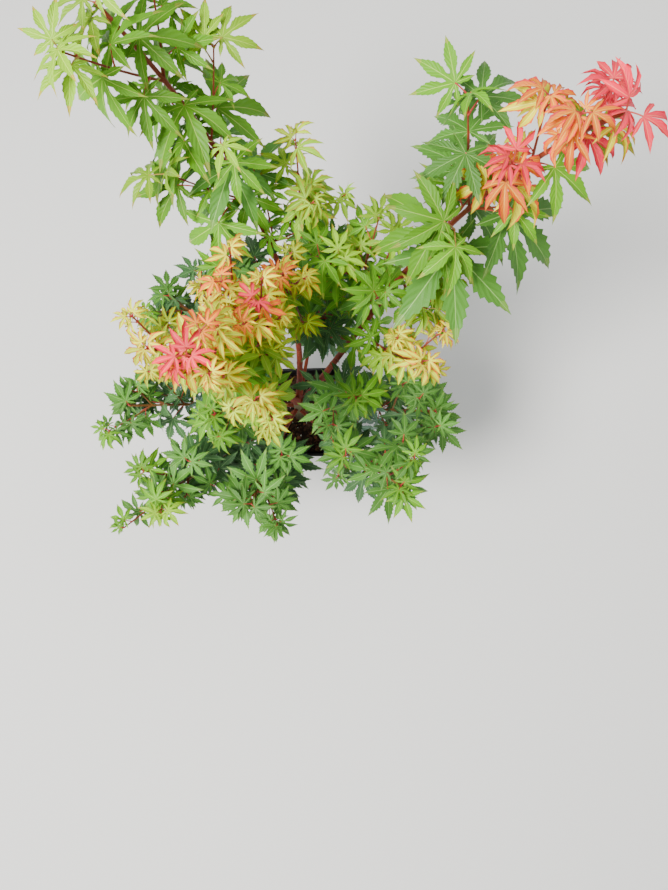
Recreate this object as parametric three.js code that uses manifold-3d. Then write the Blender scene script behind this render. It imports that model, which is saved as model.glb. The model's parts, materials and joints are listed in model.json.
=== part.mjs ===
// A young japanese maple in a square nursery pot, in millimetres with Z up.
// The origin is the middle of the pot's flat underside. The plant has a short trunk, three
// leaders that lean to the right, to the back and straight up, and seven low boughs around them.
// Every limb is worked out from a bearing, a lean and a length. The foliage grows on the ends
// of the limbs by one seeded rule: opposite pairs of lobed leaves that shrink towards the tip.

import * as THREE from 'three';
import Module from 'manifold-3d';

const wasm = await Module();
wasm.setup();

// Pot and soil

const potHeight = 88;
const potRimWidth = 89;
const potFootWidth = 66;
const potWall = 1.6;
const potRimCorner = 11;
const potFootCorner = 8;
const potRimBand = 6;
const potRimProud = 1.3;
const potFootBevel = 1.2;
const potCornerSteps = 4;
const drainHoleRadius = 4.5;
const drainHoleOffset = 21;
const drainHoleSides = 10;
const soilTop = 78;
const seatGap = 0.3;
const meltLimits = [0.01, 0.005, 0.001, 0.02];
const fineGrids = [0.004, 0.003, 0.005, 0.002, 0.006, 0.008, 0.01];

// Blank plant label, pushed into the soil by the front right corner

const labelWidth = 12;
const labelThick = 0.9;
const labelLength = 68;
const labelPointLength = 9;
const labelAtSoil = [31.5, -33.5];
const labelBuried = 24;
const labelBearing = -48;
const labelLean = 22;

// Limbs, stems and side sprigs

const limbSteps = 24;
const limbRingEvery = 20;
const limbSides = 8;
const stemSides = 4;
const sprigSides = 3;
const sprigRadii = [0.95, 0.8, 0.55];
const sprigShare = 0.8;
const trunkFlare = 2.6;
const trunkFlareHeight = 5;

// Leaves: bearing of each lobe from the middle one and its share of the leaf's length

const broadLobes = [[0, 1], [36, 0.9], [78, 0.66], [128, 0.36]];
const narrowLobes = [[0, 1], [45, 0.82], [100, 0.46]];
const budLobes = [[0, 1], [62, 0.7]];
const broadLeafFrom = 42;
const smallLeafFrom = 20;
const lobeNotch = 0.4;
const leafSinus = 0.1;
const leafThickShare = 0.02;
const leafThickLeast = 0.6;
const leafClearance = 0.35;
const stalkShare = 0.5;
const stalkThinnest = 0.25;
const stalkPerLength = 0.012;
const stalkThickest = 0.7;
const stalkKeel = 1.5;
const stalkInset = 0.35;
const outerStalkFrom = 0.5;
const leafTries = [
  { stalk: 1, tip: 0, swing: 0 },
  { stalk: 0.75, tip: 12, swing: 12 },
  { stalk: 1.25, tip: -10, swing: -12 },
];

// Pairs of leaves: how they are spaced, set and turned on a stem. Where two values stand
// together, the first is the least and a draw from 0 to 1 adds up to the second.

const firstPairAt = 0.3;
const pairCrowding = 1.15;
const pairSwing = 30;
const pairFlatten = 0.6;
const pairRaise = 0.35;
const pairRise = 0.35;
const leafSize = [0.86, 0.26];
const tipLeaves = 4;
const tipLeafShare = 0.8;
const tipLeafUneven = [1.05, 0.85];
const tipRise = 0.55;
const stalkAlong = 0.55;
const stalkSwing = 34;
const stalkReach = [0.75, 0.3];
const stalkRiseCut = 0.5;
const leafTip = [6, 32];
const leafRoll = 50;
const leafDroop = [0.1, 0.16];

// Side sprigs: one from each leaf of the first pairs, with a smaller pair and one leaf at the tip

const sprigReach = [0.8, 0.4];
const sprigAlong = 0.9;
const sprigLift = 0.25;
const sprigSag = 0.04;
const sprigPairAt = 0.45;
const sprigLeafShares = [0.74, 0.6];

// Each limb starts at a share of its parent's length. Its bearing from +X towards +Y and its
// lean from upright are given at its start, middle and end. It is bare up to a share of its
// length, and from there on it is the stem of the foliage at its end.

const limbs = {
  trunk: { bearing: [60, 60, 60], lean: [4, 7, 8], length: 50, radius: [4.7, 3.9], bare: 1 },
  leader_middle: {
    parent: 'trunk', at: 1, bearing: [225, 215, 225], lean: [3, 5, 7], length: 266,
    radius: [2.9, 1.3], bare: 0.66,
  },
  leader_right: {
    parent: 'trunk', at: 0.68, bearing: [34, 28, -25], lean: [45, 32, 30], length: 404,
    radius: [3.0, 1.2], bare: 0.61,
  },
  leader_back: {
    parent: 'trunk', at: 0.88, bearing: [70, 114, 155], lean: [44, 31, 24], length: 363,
    radius: [2.8, 1.2], bare: 0.56,
  },
  bough_front_right: {
    parent: 'trunk', at: 0.5, bearing: [-45, -38, -32], lean: [58, 44, 32], length: 182,
    radius: [1.9, 0.9], bare: 0.34,
  },
  bough_front: {
    parent: 'trunk', at: 0.62, bearing: [-112, -100, -94], lean: [52, 40, 28], length: 150,
    radius: [1.8, 0.9], bare: 0.34,
  },
  bough_front_left: {
    parent: 'trunk', at: 0.42, bearing: [-140, -136, -130], lean: [60, 42, 28], length: 190,
    radius: [1.9, 0.9], bare: 0.34,
  },
  bough_left: {
    parent: 'trunk', at: 0.7, bearing: [180, 187, 192], lean: [64, 50, 36], length: 164,
    radius: [1.8, 0.9], bare: 0.34,
  },
  bough_back_left: {
    parent: 'trunk', at: 0.5, bearing: [132, 140, 146], lean: [62, 46, 34], length: 168,
    radius: [1.8, 0.9], bare: 0.34,
  },
  bough_right: {
    parent: 'trunk', at: 0.38, bearing: [-2, -8, -10], lean: [66, 54, 42], length: 160,
    radius: [1.8, 0.9], bare: 0.34,
  },
  bough_back_right: {
    parent: 'trunk', at: 0.45, bearing: [78, 68, 58], lean: [62, 50, 38], length: 172,
    radius: [1.8, 0.9], bare: 0.34,
  },
};

// Each mass of foliage grows from the end of its limb, or from a stem of its own that starts
// at a share of a limb's length. Leaves are the lengths of the first and last ones, pairs is
// the number of leaf pairs on the stem, and sprigs the pairs of side sprigs it carries.

const masses = {
  foliage_middle_top: {
    limb: 'leader_middle', seed: 11, pairs: 4, leaves: [31, 18], sprigs: 2, tint: 'coral',
  },
  foliage_right_top: {
    limb: 'leader_right', seed: 23, pairs: 4, leaves: [58, 20], sprigs: 2, tint: 'spring',
  },
  foliage_back_top: {
    limb: 'leader_back', seed: 35, pairs: 5, leaves: [46, 20], sprigs: 1, tint: 'spring',
  },
  foliage_middle_left: {
    limb: 'leader_middle', at: 0.58, bearing: [165, 176, 190], lean: [46, 28, 12], length: 94,
    radius: [1.2, 0.8], seed: 41, pairs: 3, leaves: [30, 19], sprigs: 0, tint: 'orange',
  },
  foliage_middle_back: {
    limb: 'leader_middle', at: 0.53, bearing: [85, 94, 100], lean: [42, 26, 14], length: 100,
    radius: [1.2, 0.8], seed: 53, pairs: 3, leaves: [30, 19], sprigs: 0, tint: 'orange',
  },
  foliage_middle_right: {
    limb: 'leader_middle', at: 0.6, bearing: [48, 50, 62], lean: [40, 24, 10], length: 92,
    radius: [1.2, 0.8], seed: 65, pairs: 3, leaves: [30, 19], sprigs: 1, tint: 'yellow',
  },
  foliage_middle_front: {
    limb: 'leader_middle', at: 0.5, bearing: [-64, -52, -40], lean: [40, 18, 6], length: 92,
    radius: [1.2, 0.8], seed: 77, pairs: 3, leaves: [30, 19], sprigs: 0, tint: 'yellow',
  },
  foliage_middle_low: {
    limb: 'leader_middle', at: 0.2, bearing: [216, 206, 196], lean: [60, 44, 30], length: 74,
    radius: [1.2, 0.8], seed: 239, pairs: 3, leaves: [38, 25], sprigs: 0, tint: 'green',
  },
  foliage_right_base: {
    limb: 'leader_right', at: 0.13, bearing: [-52, -40, -26], lean: [58, 36, 22], length: 76,
    radius: [1.2, 0.8], seed: 251, pairs: 3, leaves: [38, 25], sprigs: 0, tint: 'green',
  },
  foliage_right_inner: {
    limb: 'leader_right', at: 0.31, bearing: [-50, -39, -30], lean: [56, 44, 26], length: 96,
    radius: [1.2, 0.8], seed: 81, pairs: 3, leaves: [34, 20], sprigs: 0, tint: 'orange',
  },
  foliage_right_low: {
    limb: 'leader_right', at: 0.26, bearing: [112, 122, 130], lean: [62, 50, 40], length: 52,
    radius: [1.1, 0.8], seed: 93, pairs: 2, leaves: [38, 27], sprigs: 0, tint: 'green',
  },
  foliage_right_mid: {
    limb: 'leader_right', at: 0.4, bearing: [104, 116, 124], lean: [58, 46, 36], length: 46,
    radius: [1.1, 0.8], seed: 105, pairs: 2, leaves: [40, 27], sprigs: 0, tint: 'spring',
  },
  foliage_right_outer: {
    limb: 'leader_right', at: 0.49, bearing: [-70, -62, -56], lean: [64, 52, 40], length: 46,
    radius: [1.1, 0.8], seed: 117, pairs: 2, leaves: [42, 27], sprigs: 1, tint: 'spring',
  },
  foliage_back_inner: {
    limb: 'leader_back', at: 0.3, bearing: [-40, -50, -60], lean: [28, 5, 2], length: 112,
    radius: [1.2, 0.8], seed: 121, pairs: 3, leaves: [32, 19], sprigs: 0, tint: 'orange',
  },
  foliage_back_left: {
    limb: 'leader_back', at: 0.4, bearing: [205, 198, 190], lean: [60, 46, 36], length: 56,
    radius: [1.1, 0.8], seed: 133, pairs: 2, leaves: [38, 27], sprigs: 0, tint: 'green',
  },
  foliage_back_right: {
    limb: 'leader_back', at: 0.47, bearing: [22, 30, 36], lean: [58, 44, 34], length: 58,
    radius: [1.1, 0.8], seed: 145, pairs: 2, leaves: [40, 26], sprigs: 1, tint: 'spring',
  },
  foliage_low_front_right: {
    limb: 'bough_front_right', seed: 151, pairs: 4, leaves: [44, 25], sprigs: 0, tint: 'green',
  },
  foliage_low_front: {
    limb: 'bough_front', seed: 163, pairs: 4, leaves: [44, 25], sprigs: 0, tint: 'green',
  },
  foliage_low_front_left: {
    limb: 'bough_front_left', seed: 175, pairs: 4, leaves: [44, 25], sprigs: 0, tint: 'green',
  },
  foliage_low_left: {
    limb: 'bough_left', seed: 187, pairs: 4, leaves: [44, 25], sprigs: 0, tint: 'mature',
  },
  foliage_low_back_left: {
    limb: 'bough_back_left', seed: 199, pairs: 4, leaves: [44, 25], sprigs: 0, tint: 'mature',
  },
  foliage_low_right: {
    limb: 'bough_right', seed: 211, pairs: 4, leaves: [44, 25], sprigs: 0, tint: 'mature',
  },
  foliage_low_back_right: {
    limb: 'bough_back_right', seed: 223, pairs: 4, leaves: [44, 25], sprigs: 0, tint: 'mature',
  },
};

// Materials

const finish = (color, roughness) => new THREE.MeshStandardMaterial({ color, roughness, metalness: 0 });
const potPlastic = finish(0x17181b, 0.45);
const barkMix = finish(0x2b211b, 0.95);
const labelPlastic = finish(0xe9e7ea, 0.5);
const oldBark = finish(0x6f6a4c, 0.8);
const redBark = finish(0x8a3a31, 0.6);
const tints = {
  coral: finish(0xe58a5c, 0.6),
  orange: finish(0xdba45e, 0.6),
  yellow: finish(0xc9cf5c, 0.6),
  spring: finish(0x8fb850, 0.6),
  green: finish(0x5d9650, 0.6),
  mature: finish(0x4d7f58, 0.6),
};

// Small helpers

const upward = new THREE.Vector3(0, 0, 1);
const radians = (degrees) => degrees * Math.PI / 180;
const mix = (from, to, share) => from + (to - from) * share;
const spread = ([least, extra], draw) => least + extra * draw;

// The smooth curve through a start, a middle and an end value.
function through([start, middle, end], share) {
  const left = 1 - share;
  return start * left * (1 - 2 * share) + 4 * middle * share * left + end * share * (2 * share - 1);
}

function heading(bearing, lean) {
  const out = Math.sin(radians(lean));
  return new THREE.Vector3(
    out * Math.cos(radians(bearing)),
    out * Math.sin(radians(bearing)),
    Math.cos(radians(lean)),
  );
}

// Repeatable numbers from 0 to 1, each growing point with a seed of its own.
function seeded(seed) {
  let state = Math.imul(seed, 2654435761) >>> 0;
  return () => {
    state = (Math.imul(state, 1664525) + 1013904223) >>> 0;
    return state / 4294967296;
  };
}

// Solids and meshes

function solidFrom(points, triangles) {
  const vertProperties = new Float32Array(points.flatMap((point) => [point.x, point.y, point.z]));
  const triVerts = new Uint32Array(triangles.flat());
  return new wasm.Manifold(new wasm.Mesh({ numProp: 3, vertProperties, triVerts }));
}

// Rings of equal count, joined in turn and closed at both ends with a fan.
function loft(rings) {
  const count = rings[0].length;
  const points = rings.flat();
  const triangles = [];
  for (let ring = 0; ring + 1 < rings.length; ring += 1) {
    for (let step = 0; step < count; step += 1) {
      const here = ring * count + step;
      const next = ring * count + (step + 1) % count;
      triangles.push([here, next, next + count]);
      triangles.push([here, next + count, here + count]);
    }
  }
  const last = (rings.length - 1) * count;
  for (let step = 1; step + 1 < count; step += 1) {
    triangles.push([0, step + 1, step]);
    triangles.push([last, last + step, last + step + 1]);
  }
  return solidFrom(points, triangles);
}

// A tube along points, with a radius at each of them.
function tube(points, radii, sides) {
  const along = points.map((point, index) => {
    const before = points[Math.max(index - 1, 0)];
    const after = points[Math.min(index + 1, points.length - 1)];
    return after.clone().sub(before).normalize();
  });
  let side = new THREE.Vector3(1, 0, 0);
  if (Math.abs(along[0].x) > 0.8) {
    side = new THREE.Vector3(0, 1, 0);
  }
  const rings = points.map((point, index) => {
    side.addScaledVector(along[index], -side.dot(along[index])).normalize();
    const rise = along[index].clone().cross(side);
    return Array.from({ length: sides }, (_, step) => {
      const angle = 2 * Math.PI * step / sides;
      return point.clone()
        .addScaledVector(side, radii[index] * Math.cos(angle))
        .addScaledVector(rise, radii[index] * Math.sin(angle));
    });
  });
  return loft(rings);
}

// The largest closed body of a solid, without loose scraps or sealed hollows.
function oneBody(solid) {
  const bodies = solid.decompose();
  return bodies.reduce((best, body) => (body.volume() > best.volume() ? body : best));
}

// The faces of a solid with its points set on a fine grid, so that slivers thinner than the
// grid close up. Two faces that fold onto each other cancel out.
function gridded(solid, grid) {
  const { vertProperties, triVerts } = solid.getMesh();
  const ids = new Map();
  const points = [];
  const idOf = (vertex) => {
    const place = [0, 1, 2].map((axis) => Math.round(vertProperties[3 * vertex + axis] / grid));
    const key = place.join();
    if (!ids.has(key)) {
      ids.set(key, points.length);
      points.push(new THREE.Vector3(...place).multiplyScalar(grid));
    }
    return ids.get(key);
  };
  const faces = new Map();
  for (let start = 0; start < triVerts.length; start += 3) {
    const [first, second, third] = [0, 1, 2].map((corner) => idOf(triVerts[start + corner]));
    if (first !== second && second !== third && third !== first) {
      const key = [first, second, third].sort((one, other) => one - other).join();
      if (faces.has(key)) {
        faces.delete(key);
      } else {
        faces.set(key, [first, second, third]);
      }
    }
  }
  return { points, triangles: [...faces.values()] };
}

// Whether each edge is run once in each direction, so that it joins exactly two faces.
function closes(triangles) {
  const edges = new Map();
  for (const [first, second, third] of triangles) {
    for (const edge of [[first, second], [second, third], [third, first]]) {
      edges.set(edge.join(), (edges.get(edge.join()) ?? 0) + 1);
    }
  }
  return [...edges].every(([key, runs]) => (
    runs === 1 && edges.get(key.split(',').reverse().join()) === 1));
}

// The solid without its finest creases, on the first grid that keeps it closed.
function settled(solid) {
  for (const limit of meltLimits) {
    const melted = solid.simplify(limit);
    for (const grid of fineGrids) {
      const { points, triangles } = gridded(melted, grid);
      if (closes(triangles)) {
        return oneBody(solidFrom(points, triangles));
      }
    }
  }
  throw new Error('a solid has an edge with more than two faces');
}

function meshFrom(solid, name, material) {
  const mesh = settled(solid).getMesh();
  const geometry = new THREE.BufferGeometry();
  geometry.setAttribute('position', new THREE.Float32BufferAttribute(mesh.vertProperties, 3));
  geometry.setIndex([...mesh.triVerts]);
  geometry.computeVertexNormals();
  const result = new THREE.Mesh(geometry, material);
  result.name = name;
  return result;
}

function boxesMeet(first, second) {
  return [0, 1, 2].every((axis) => first.min[axis] <= second.max[axis]
    && second.min[axis] <= first.max[axis]);
}

function touches(solid, others) {
  const box = solid.boundingBox();
  return others.some((other) => boxesMeet(box, other.box) && !solid.intersect(other.solid).isEmpty());
}

const boxed = (solid) => ({ solid, box: solid.boundingBox() });

// Pot: a tapered square shell with round corners, a rim band and four drain holes

function roundedSquare(width, corner, height) {
  const reach = width / 2 - corner;
  const ring = [];
  for (let quarter = 0; quarter < 4; quarter += 1) {
    const middle = radians(45 + 90 * quarter);
    const centreX = Math.sign(Math.cos(middle)) * reach;
    const centreY = Math.sign(Math.sin(middle)) * reach;
    for (let step = 0; step <= potCornerSteps; step += 1) {
      const angle = radians(90 * (quarter + step / potCornerSteps));
      ring.push(new THREE.Vector3(
        centreX + corner * Math.cos(angle),
        centreY + corner * Math.sin(angle),
        height,
      ));
    }
  }
  return ring;
}

// A level ring of the pot's wall, moved in or out from the outer face.
function potRing(height, outward) {
  const share = height / potHeight;
  const width = mix(potFootWidth, potRimWidth - 2 * potRimProud, share) + 2 * outward;
  const corner = mix(potFootCorner, potRimCorner, share) + outward;
  return roundedSquare(width, corner, height);
}

function makePot() {
  const bandFoot = potHeight - potRimBand;
  const outside = loft([
    potRing(0, -potFootBevel),
    potRing(potFootBevel, 0),
    potRing(bandFoot, 0),
    potRing(bandFoot + potRimProud, potRimProud),
    potRing(potHeight - potRimProud / 2, potRimProud),
    potRing(potHeight, potRimProud / 2),
  ]);
  const over = 1;
  const inside = loft([
    potRing(potWall, -potWall - potFootBevel),
    potRing(potWall + potFootBevel, -potWall),
    potRing(potHeight + over, -potWall),
  ]);
  let pot = outside.subtract(inside);
  for (const [x, y] of [[1, 1], [-1, 1], [-1, -1], [1, -1]]) {
    const centre = [x * drainHoleOffset, y * drainHoleOffset];
    const ends = [-over, potWall + over].map((height) => new THREE.Vector3(...centre, height));
    pot = pot.subtract(tube(ends, [drainHoleRadius, drainHoleRadius], drainHoleSides));
  }
  return pot;
}

function makeSoil(labelHole) {
  const clear = potWall + seatGap;
  const soil = loft([
    potRing(clear, -clear - potFootBevel),
    potRing(clear + potFootBevel, -clear),
    potRing(soilTop, -clear),
  ]);
  return soil.subtract(labelHole);
}

// Label: a flat strip with a pointed foot, leaning out over the corner of the pot

function makeLabel(grow) {
  const rise = heading(labelBearing, labelLean);
  const side = heading(labelBearing + 90, 90);
  const face = side.clone().cross(rise);
  const foot = new THREE.Vector3(...labelAtSoil, soilTop).addScaledVector(rise, -labelBuried);
  const half = labelWidth / 2 + grow;
  const outline = new THREE.Shape([
    new THREE.Vector2(0, -grow),
    new THREE.Vector2(half, labelPointLength),
    new THREE.Vector2(half, labelLength + grow),
    new THREE.Vector2(-half, labelLength + grow),
    new THREE.Vector2(-half, labelPointLength),
  ]);
  const depth = labelThick + 2 * grow;
  const corners = outline.getPoints();
  const rings = [-depth / 2, depth / 2].map((offset) => corners.map((corner) => foot.clone()
    .addScaledVector(side, corner.x)
    .addScaledVector(rise, corner.y)
    .addScaledVector(face, offset)));
  return loft(rings);
}

// Limbs

function traceLimb(start, { bearing, lean, length }) {
  const points = [start.clone()];
  for (let step = 0; step < limbSteps; step += 1) {
    const share = (step + 0.5) / limbSteps;
    const toward = heading(through(bearing, share), through(lean, share));
    points.push(points.at(-1).clone().addScaledVector(toward, length / limbSteps));
  }
  return points;
}

function pointAt(path, share) {
  const place = Math.min(share, 1) * (path.length - 1);
  const index = Math.min(Math.floor(place), path.length - 2);
  return path[index].clone().lerp(path[index + 1], place - index);
}

function directionAt(path, share) {
  const index = Math.min(Math.floor(share * (path.length - 1)), path.length - 2);
  return path[index + 1].clone().sub(path[index]).normalize();
}

// The stretch of a limb between two shares of its length, thicker all round by grow.
function limbStretch(limb, from, to, sides, grow = 0) {
  const steps = Math.max(2, Math.round((to - from) * limb.length / limbRingEvery));
  const points = [];
  const radii = [];
  for (let step = 0; step <= steps; step += 1) {
    const share = mix(from, to, step / steps);
    points.push(pointAt(limb.path, share));
    radii.push(mix(limb.radius[0], limb.radius[1], share) + grow);
  }
  return tube(points, radii, sides);
}

// The trunk flares out to its flat, level cut on the soil.
function trunkBody(trunk, grow) {
  const shares = [0, 0.05, 0.12, 0.26, 0.5, 0.75, 1];
  const points = shares.map((share) => pointAt(trunk.path, share));
  const radii = shares.map((share) => {
    const flare = trunkFlare * Math.exp(-share * trunk.length / trunkFlareHeight);
    return mix(trunk.radius[0], trunk.radius[1], share) + flare + grow;
  });
  points[1].x = points[0].x;
  points[1].y = points[0].y;
  return tube(points, radii, limbSides);
}

// Leaves

// The outline of a leaf's blade round its centre, as bearings and reaches: one point at each
// lobe's tip and one in each notch between two lobes.
function leafOutline(length) {
  let half = budLobes;
  if (length > smallLeafFrom) {
    half = narrowLobes;
  }
  if (length > broadLeafFrom) {
    half = broadLobes;
  }
  const lobes = [...half.slice(1).reverse().map(([angle, share]) => [-angle, share]), ...half];
  return lobes.flatMap(([angle, share], index) => {
    const next = lobes[index + 1];
    const notch = next && [(angle + next[0]) / 2, lobeNotch * (share + next[1]) / 2];
    return notch ? [[angle, share], notch] : [[angle, share]];
  });
}

// A leaf is a thin pillow in that outline, with a three-sided stalk that leaves it at the
// sinus behind its centre and ends on the axis of the stem, or at a share of the way from
// there. Grow makes it larger all round.
function leafBody(leaf, grow = 0, stalkFrom = 0) {
  const thick = Math.max(leafThickLeast, leaf.length * leafThickShare) + 2 * grow;
  const stalk = Math.min(stalkThickest, stalkThinnest + leaf.length * stalkPerLength) + grow;
  const place = (across, ahead, lift) => leaf.centre.clone()
    .addScaledVector(leaf.side, across)
    .addScaledVector(leaf.forward, ahead)
    .addScaledVector(leaf.normal, lift);
  const blade = leafOutline(leaf.length).map(([angle, share]) => {
    const reach = share * leaf.length + 2 * grow;
    const sink = leaf.droop * share * share * leaf.length;
    return place(Math.sin(radians(angle)) * reach, Math.cos(radians(angle)) * reach, -sink);
  });
  const sinus = -leafSinus * leaf.length;
  const right = place(stalk, sinus, 0);
  const left = place(-stalk, sinus, 0);
  const below = place(0, sinus, -stalkKeel * stalk);
  const top = place(0, 0, thick / 2);
  const under = place(0, 0, -thick / 2);
  const root = leaf.node.clone().addScaledVector(leaf.way, stalkInset).lerp(leaf.centre, stalkFrom);
  const foot = (across, lift) => root.clone()
    .addScaledVector(leaf.side, across)
    .addScaledVector(leaf.normal, lift);
  const feet = [foot(stalk, stalk / 2), foot(-stalk, stalk / 2), foot(0, -stalk)];
  const ring = [...blade, right, left];
  const points = [...ring, below, top, under, ...feet];
  const count = ring.length;
  const [rightId, leftId, belowId, topId, underId] = [count - 2, count - 1, count, count + 1, count + 2];
  const [rightFoot, leftFoot, lowFoot] = [count + 3, count + 4, count + 5];
  const triangles = [
    [underId, rightId, belowId], [leftId, underId, belowId],
    [rightId, leftId, leftFoot], [rightId, leftFoot, rightFoot],
    [belowId, rightId, rightFoot], [belowId, rightFoot, lowFoot],
    [leftId, belowId, lowFoot], [leftId, lowFoot, leftFoot],
    [rightFoot, leftFoot, lowFoot],
  ];
  for (let step = 0; step < count; step += 1) {
    const next = (step + 1) % count;
    triangles.push([step, topId, next]);
    if (step !== rightId) {
      triangles.push([next, underId, step]);
    }
  }
  return solidFrom(points, triangles);
}

// One leaf of a pair: where its stalk leaves the stem, which way it grows and how it lies.
// A later try lies lower or higher than the first, to find room beside its neighbours.
function shapeLeaf(growth, attempt) {
  const { node, along, outward, length, rise, draws } = growth;
  const lie = leafTries[attempt];
  const stalkWay = outward.clone()
    .addScaledVector(along, stalkAlong + rise)
    .normalize()
    .applyAxisAngle(along, radians((draws[1] - 0.5) * stalkSwing + lie.swing));
  const stalk = length * stalkShare * spread(stalkReach, draws[0]) * (1 - stalkRiseCut * rise)
    * lie.stalk;
  const centre = node.clone().addScaledVector(stalkWay, stalk);
  const forward = stalkWay.clone();
  forward.z *= rise;
  forward.normalize();
  const side = forward.clone().cross(upward).normalize();
  forward.applyAxisAngle(side, -radians(spread(leafTip, draws[2]) + lie.tip) * (1 - rise));
  side.applyAxisAngle(forward, radians((draws[3] - 0.5) * leafRoll));
  const normal = side.clone().cross(forward);
  const droop = spread(leafDroop, draws[4]);
  return { node, way: stalkWay, centre, forward, side, normal, length, droop };
}

// The leaves and the side sprigs of one growing shoot, as lists that are tested and fused later.
function growShoot(path, plan) {
  const random = seeded(plan.seed);
  const leaves = [];
  const sprigs = [];
  const turn = 180 * random();
  const draw = () => Array.from({ length: 5 }, () => random());
  for (let pair = 0; pair < plan.pairs; pair += 1) {
    const share = 1 - (1 - (pair + plan.first) / plan.pairs) ** pairCrowding;
    const node = pointAt(path, share);
    const along = directionAt(path, share);
    const flat = along.clone().cross(upward);
    const level = flat.length() > 0.05 ? flat.normalize() : new THREE.Vector3(1, 0, 0);
    for (const half of [0, 180]) {
      const angle = radians(turn + 90 * pair + half + pairSwing * (random() - 0.5));
      const outward = level.clone().applyAxisAngle(along, angle);
      outward.z = outward.z * pairFlatten + pairRaise;
      outward.normalize();
      const length = mix(plan.leaves[0], plan.leaves[1], share) * spread(leafSize, random());
      leaves.push({ node, along, outward, length, rise: pairRise * share, draws: draw() });
      const reach = plan.sprigLength * spread(sprigReach, random());
      if (pair < plan.sprigs) {
        const way = outward.clone().addScaledVector(along, sprigAlong).normalize();
        const tip = node.clone().addScaledVector(way, reach);
        tip.z += reach * sprigLift;
        const middle = node.clone().lerp(tip, 0.5);
        middle.z -= reach * sprigSag;
        sprigs.push({
          path: [node, middle, tip],
          plan: {
            seed: plan.seed * 31 + pair * 2 + (half ? 1 : 0),
            pairs: 1,
            first: sprigPairAt,
            leaves: sprigLeafShares.map((part) => part * length),
            tips: 1,
            sprigs: 0,
            sprigLength: 0,
          },
        });
      }
    }
  }
  const node = path.at(-1);
  const along = directionAt(path, 1);
  for (let around = 0; around < plan.tips; around += 1) {
    const angle = radians(turn + 360 * around / plan.tips + pairSwing * (random() - 0.5));
    const outward = new THREE.Vector3(Math.cos(angle), Math.sin(angle), 0);
    outward.addScaledVector(along, -outward.dot(along)).normalize();
    const length = plan.leaves[1] * tipLeafShare * tipLeafUneven[around % 2];
    leaves.push({ node, along, outward, length, rise: tipRise, draws: draw() });
  }
  return { leaves, sprigs };
}

function sprigBody(sprig, grow = 0) {
  const radii = sprigRadii.map((radius) => radius + grow);
  return tube(sprig.path, radii, sprigSides);
}

// Grows one mass, skips what would touch a neighbour or a leaf of its own, and fuses the rest.
function growMass(plan, nearby) {
  const sprigLength = plan.leaves[0] * sprigShare;
  const main = growShoot(plan.path, { ...plan, first: firstPairAt, tips: tipLeaves, sprigLength });
  const parts = [plan.stem];
  const own = [];
  const addLeaves = (leaves) => {
    for (const growth of leaves) {
      for (let attempt = 0; attempt < leafTries.length; attempt += 1) {
        const leaf = shapeLeaf(growth, attempt);
        const outer = leafBody(leaf, 0, outerStalkFrom);
        if (!touches(leafBody(leaf, leafClearance), nearby) && !touches(outer, own)) {
          parts.push(leafBody(leaf));
          own.push(boxed(outer));
          break;
        }
      }
    }
  };
  addLeaves(main.leaves);
  for (const sprig of main.sprigs) {
    if (!touches(sprigBody(sprig, leafClearance), nearby)) {
      parts.push(sprigBody(sprig));
      addLeaves(growShoot(sprig.path, sprig.plan).leaves);
    }
  }
  return wasm.Manifold.union(parts);
}

// Assembly

const plant = new THREE.Group();
plant.name = 'potted_japanese_maple';

const labelHole = makeLabel(seatGap);
plant.add(meshFrom(makePot(), 'pot', potPlastic));
plant.add(meshFrom(makeSoil(labelHole), 'soil', barkMix));
plant.add(meshFrom(makeLabel(0), 'label', labelPlastic));

const potBlock = loft([potRing(0, potRimProud), potRing(potHeight, potRimProud * 2)]);
const taken = [boxed(potBlock), boxed(makeLabel(seatGap))];
const grown = {};

for (const [name, limb] of Object.entries(limbs)) {
  const parent = limbs[limb.parent];
  const start = parent ? pointAt(parent.path, limb.at) : new THREE.Vector3(0, 0, soilTop + seatGap);
  limb.path = traceLimb(start, limb);
  const from = limb.at === 1 ? seatGap / limb.length : 0;
  const shape = (grow) => (name === 'trunk'
    ? trunkBody(limb, grow)
    : limbStretch(limb, from, limb.bare, limbSides, grow));
  let body = shape(0);
  for (const other of Object.values(grown)) {
    body = body.subtract(other);
  }
  grown[name] = shape(seatGap);
  taken.push(boxed(grown[name]));
  plant.add(meshFrom(oneBody(body), name, name === 'trunk' ? oldBark : redBark));
}

// All stems are laid out before the first leaf, so that no leaf grows where a stem will pass.
for (const plan of Object.values(masses)) {
  const limb = limbs[plan.limb];
  let from = 0;
  let whole = { ...plan };
  if (plan.length) {
    whole.path = traceLimb(pointAt(limb.path, plan.at), plan);
  } else {
    from = limb.bare + seatGap / limb.length;
    whole = limb;
  }
  plan.path = Array.from({ length: limbSteps + 1 }, (_, step) => (
    pointAt(whole.path, mix(from, 1, step / limbSteps))));
  plan.stem = limbStretch(whole, from, 1, stemSides);
  plan.wideStem = boxed(limbStretch(whole, from, 1, stemSides, seatGap));
}

for (const [name, plan] of Object.entries(masses)) {
  const others = Object.values(masses).filter((other) => other !== plan);
  const nearby = [...taken, ...others.map((other) => other.wideStem)];
  const solid = oneBody(growMass(plan, nearby).subtract(grown[plan.limb]));
  taken.push(boxed(solid));
  plant.add(meshFrom(solid, name, tints[plan.tint]));
}

export default plant;
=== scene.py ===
import json
import math
import bpy
import numpy as np
from mathutils import Matrix, Vector, noise
from mathutils.bvhtree import BVHTree

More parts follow.
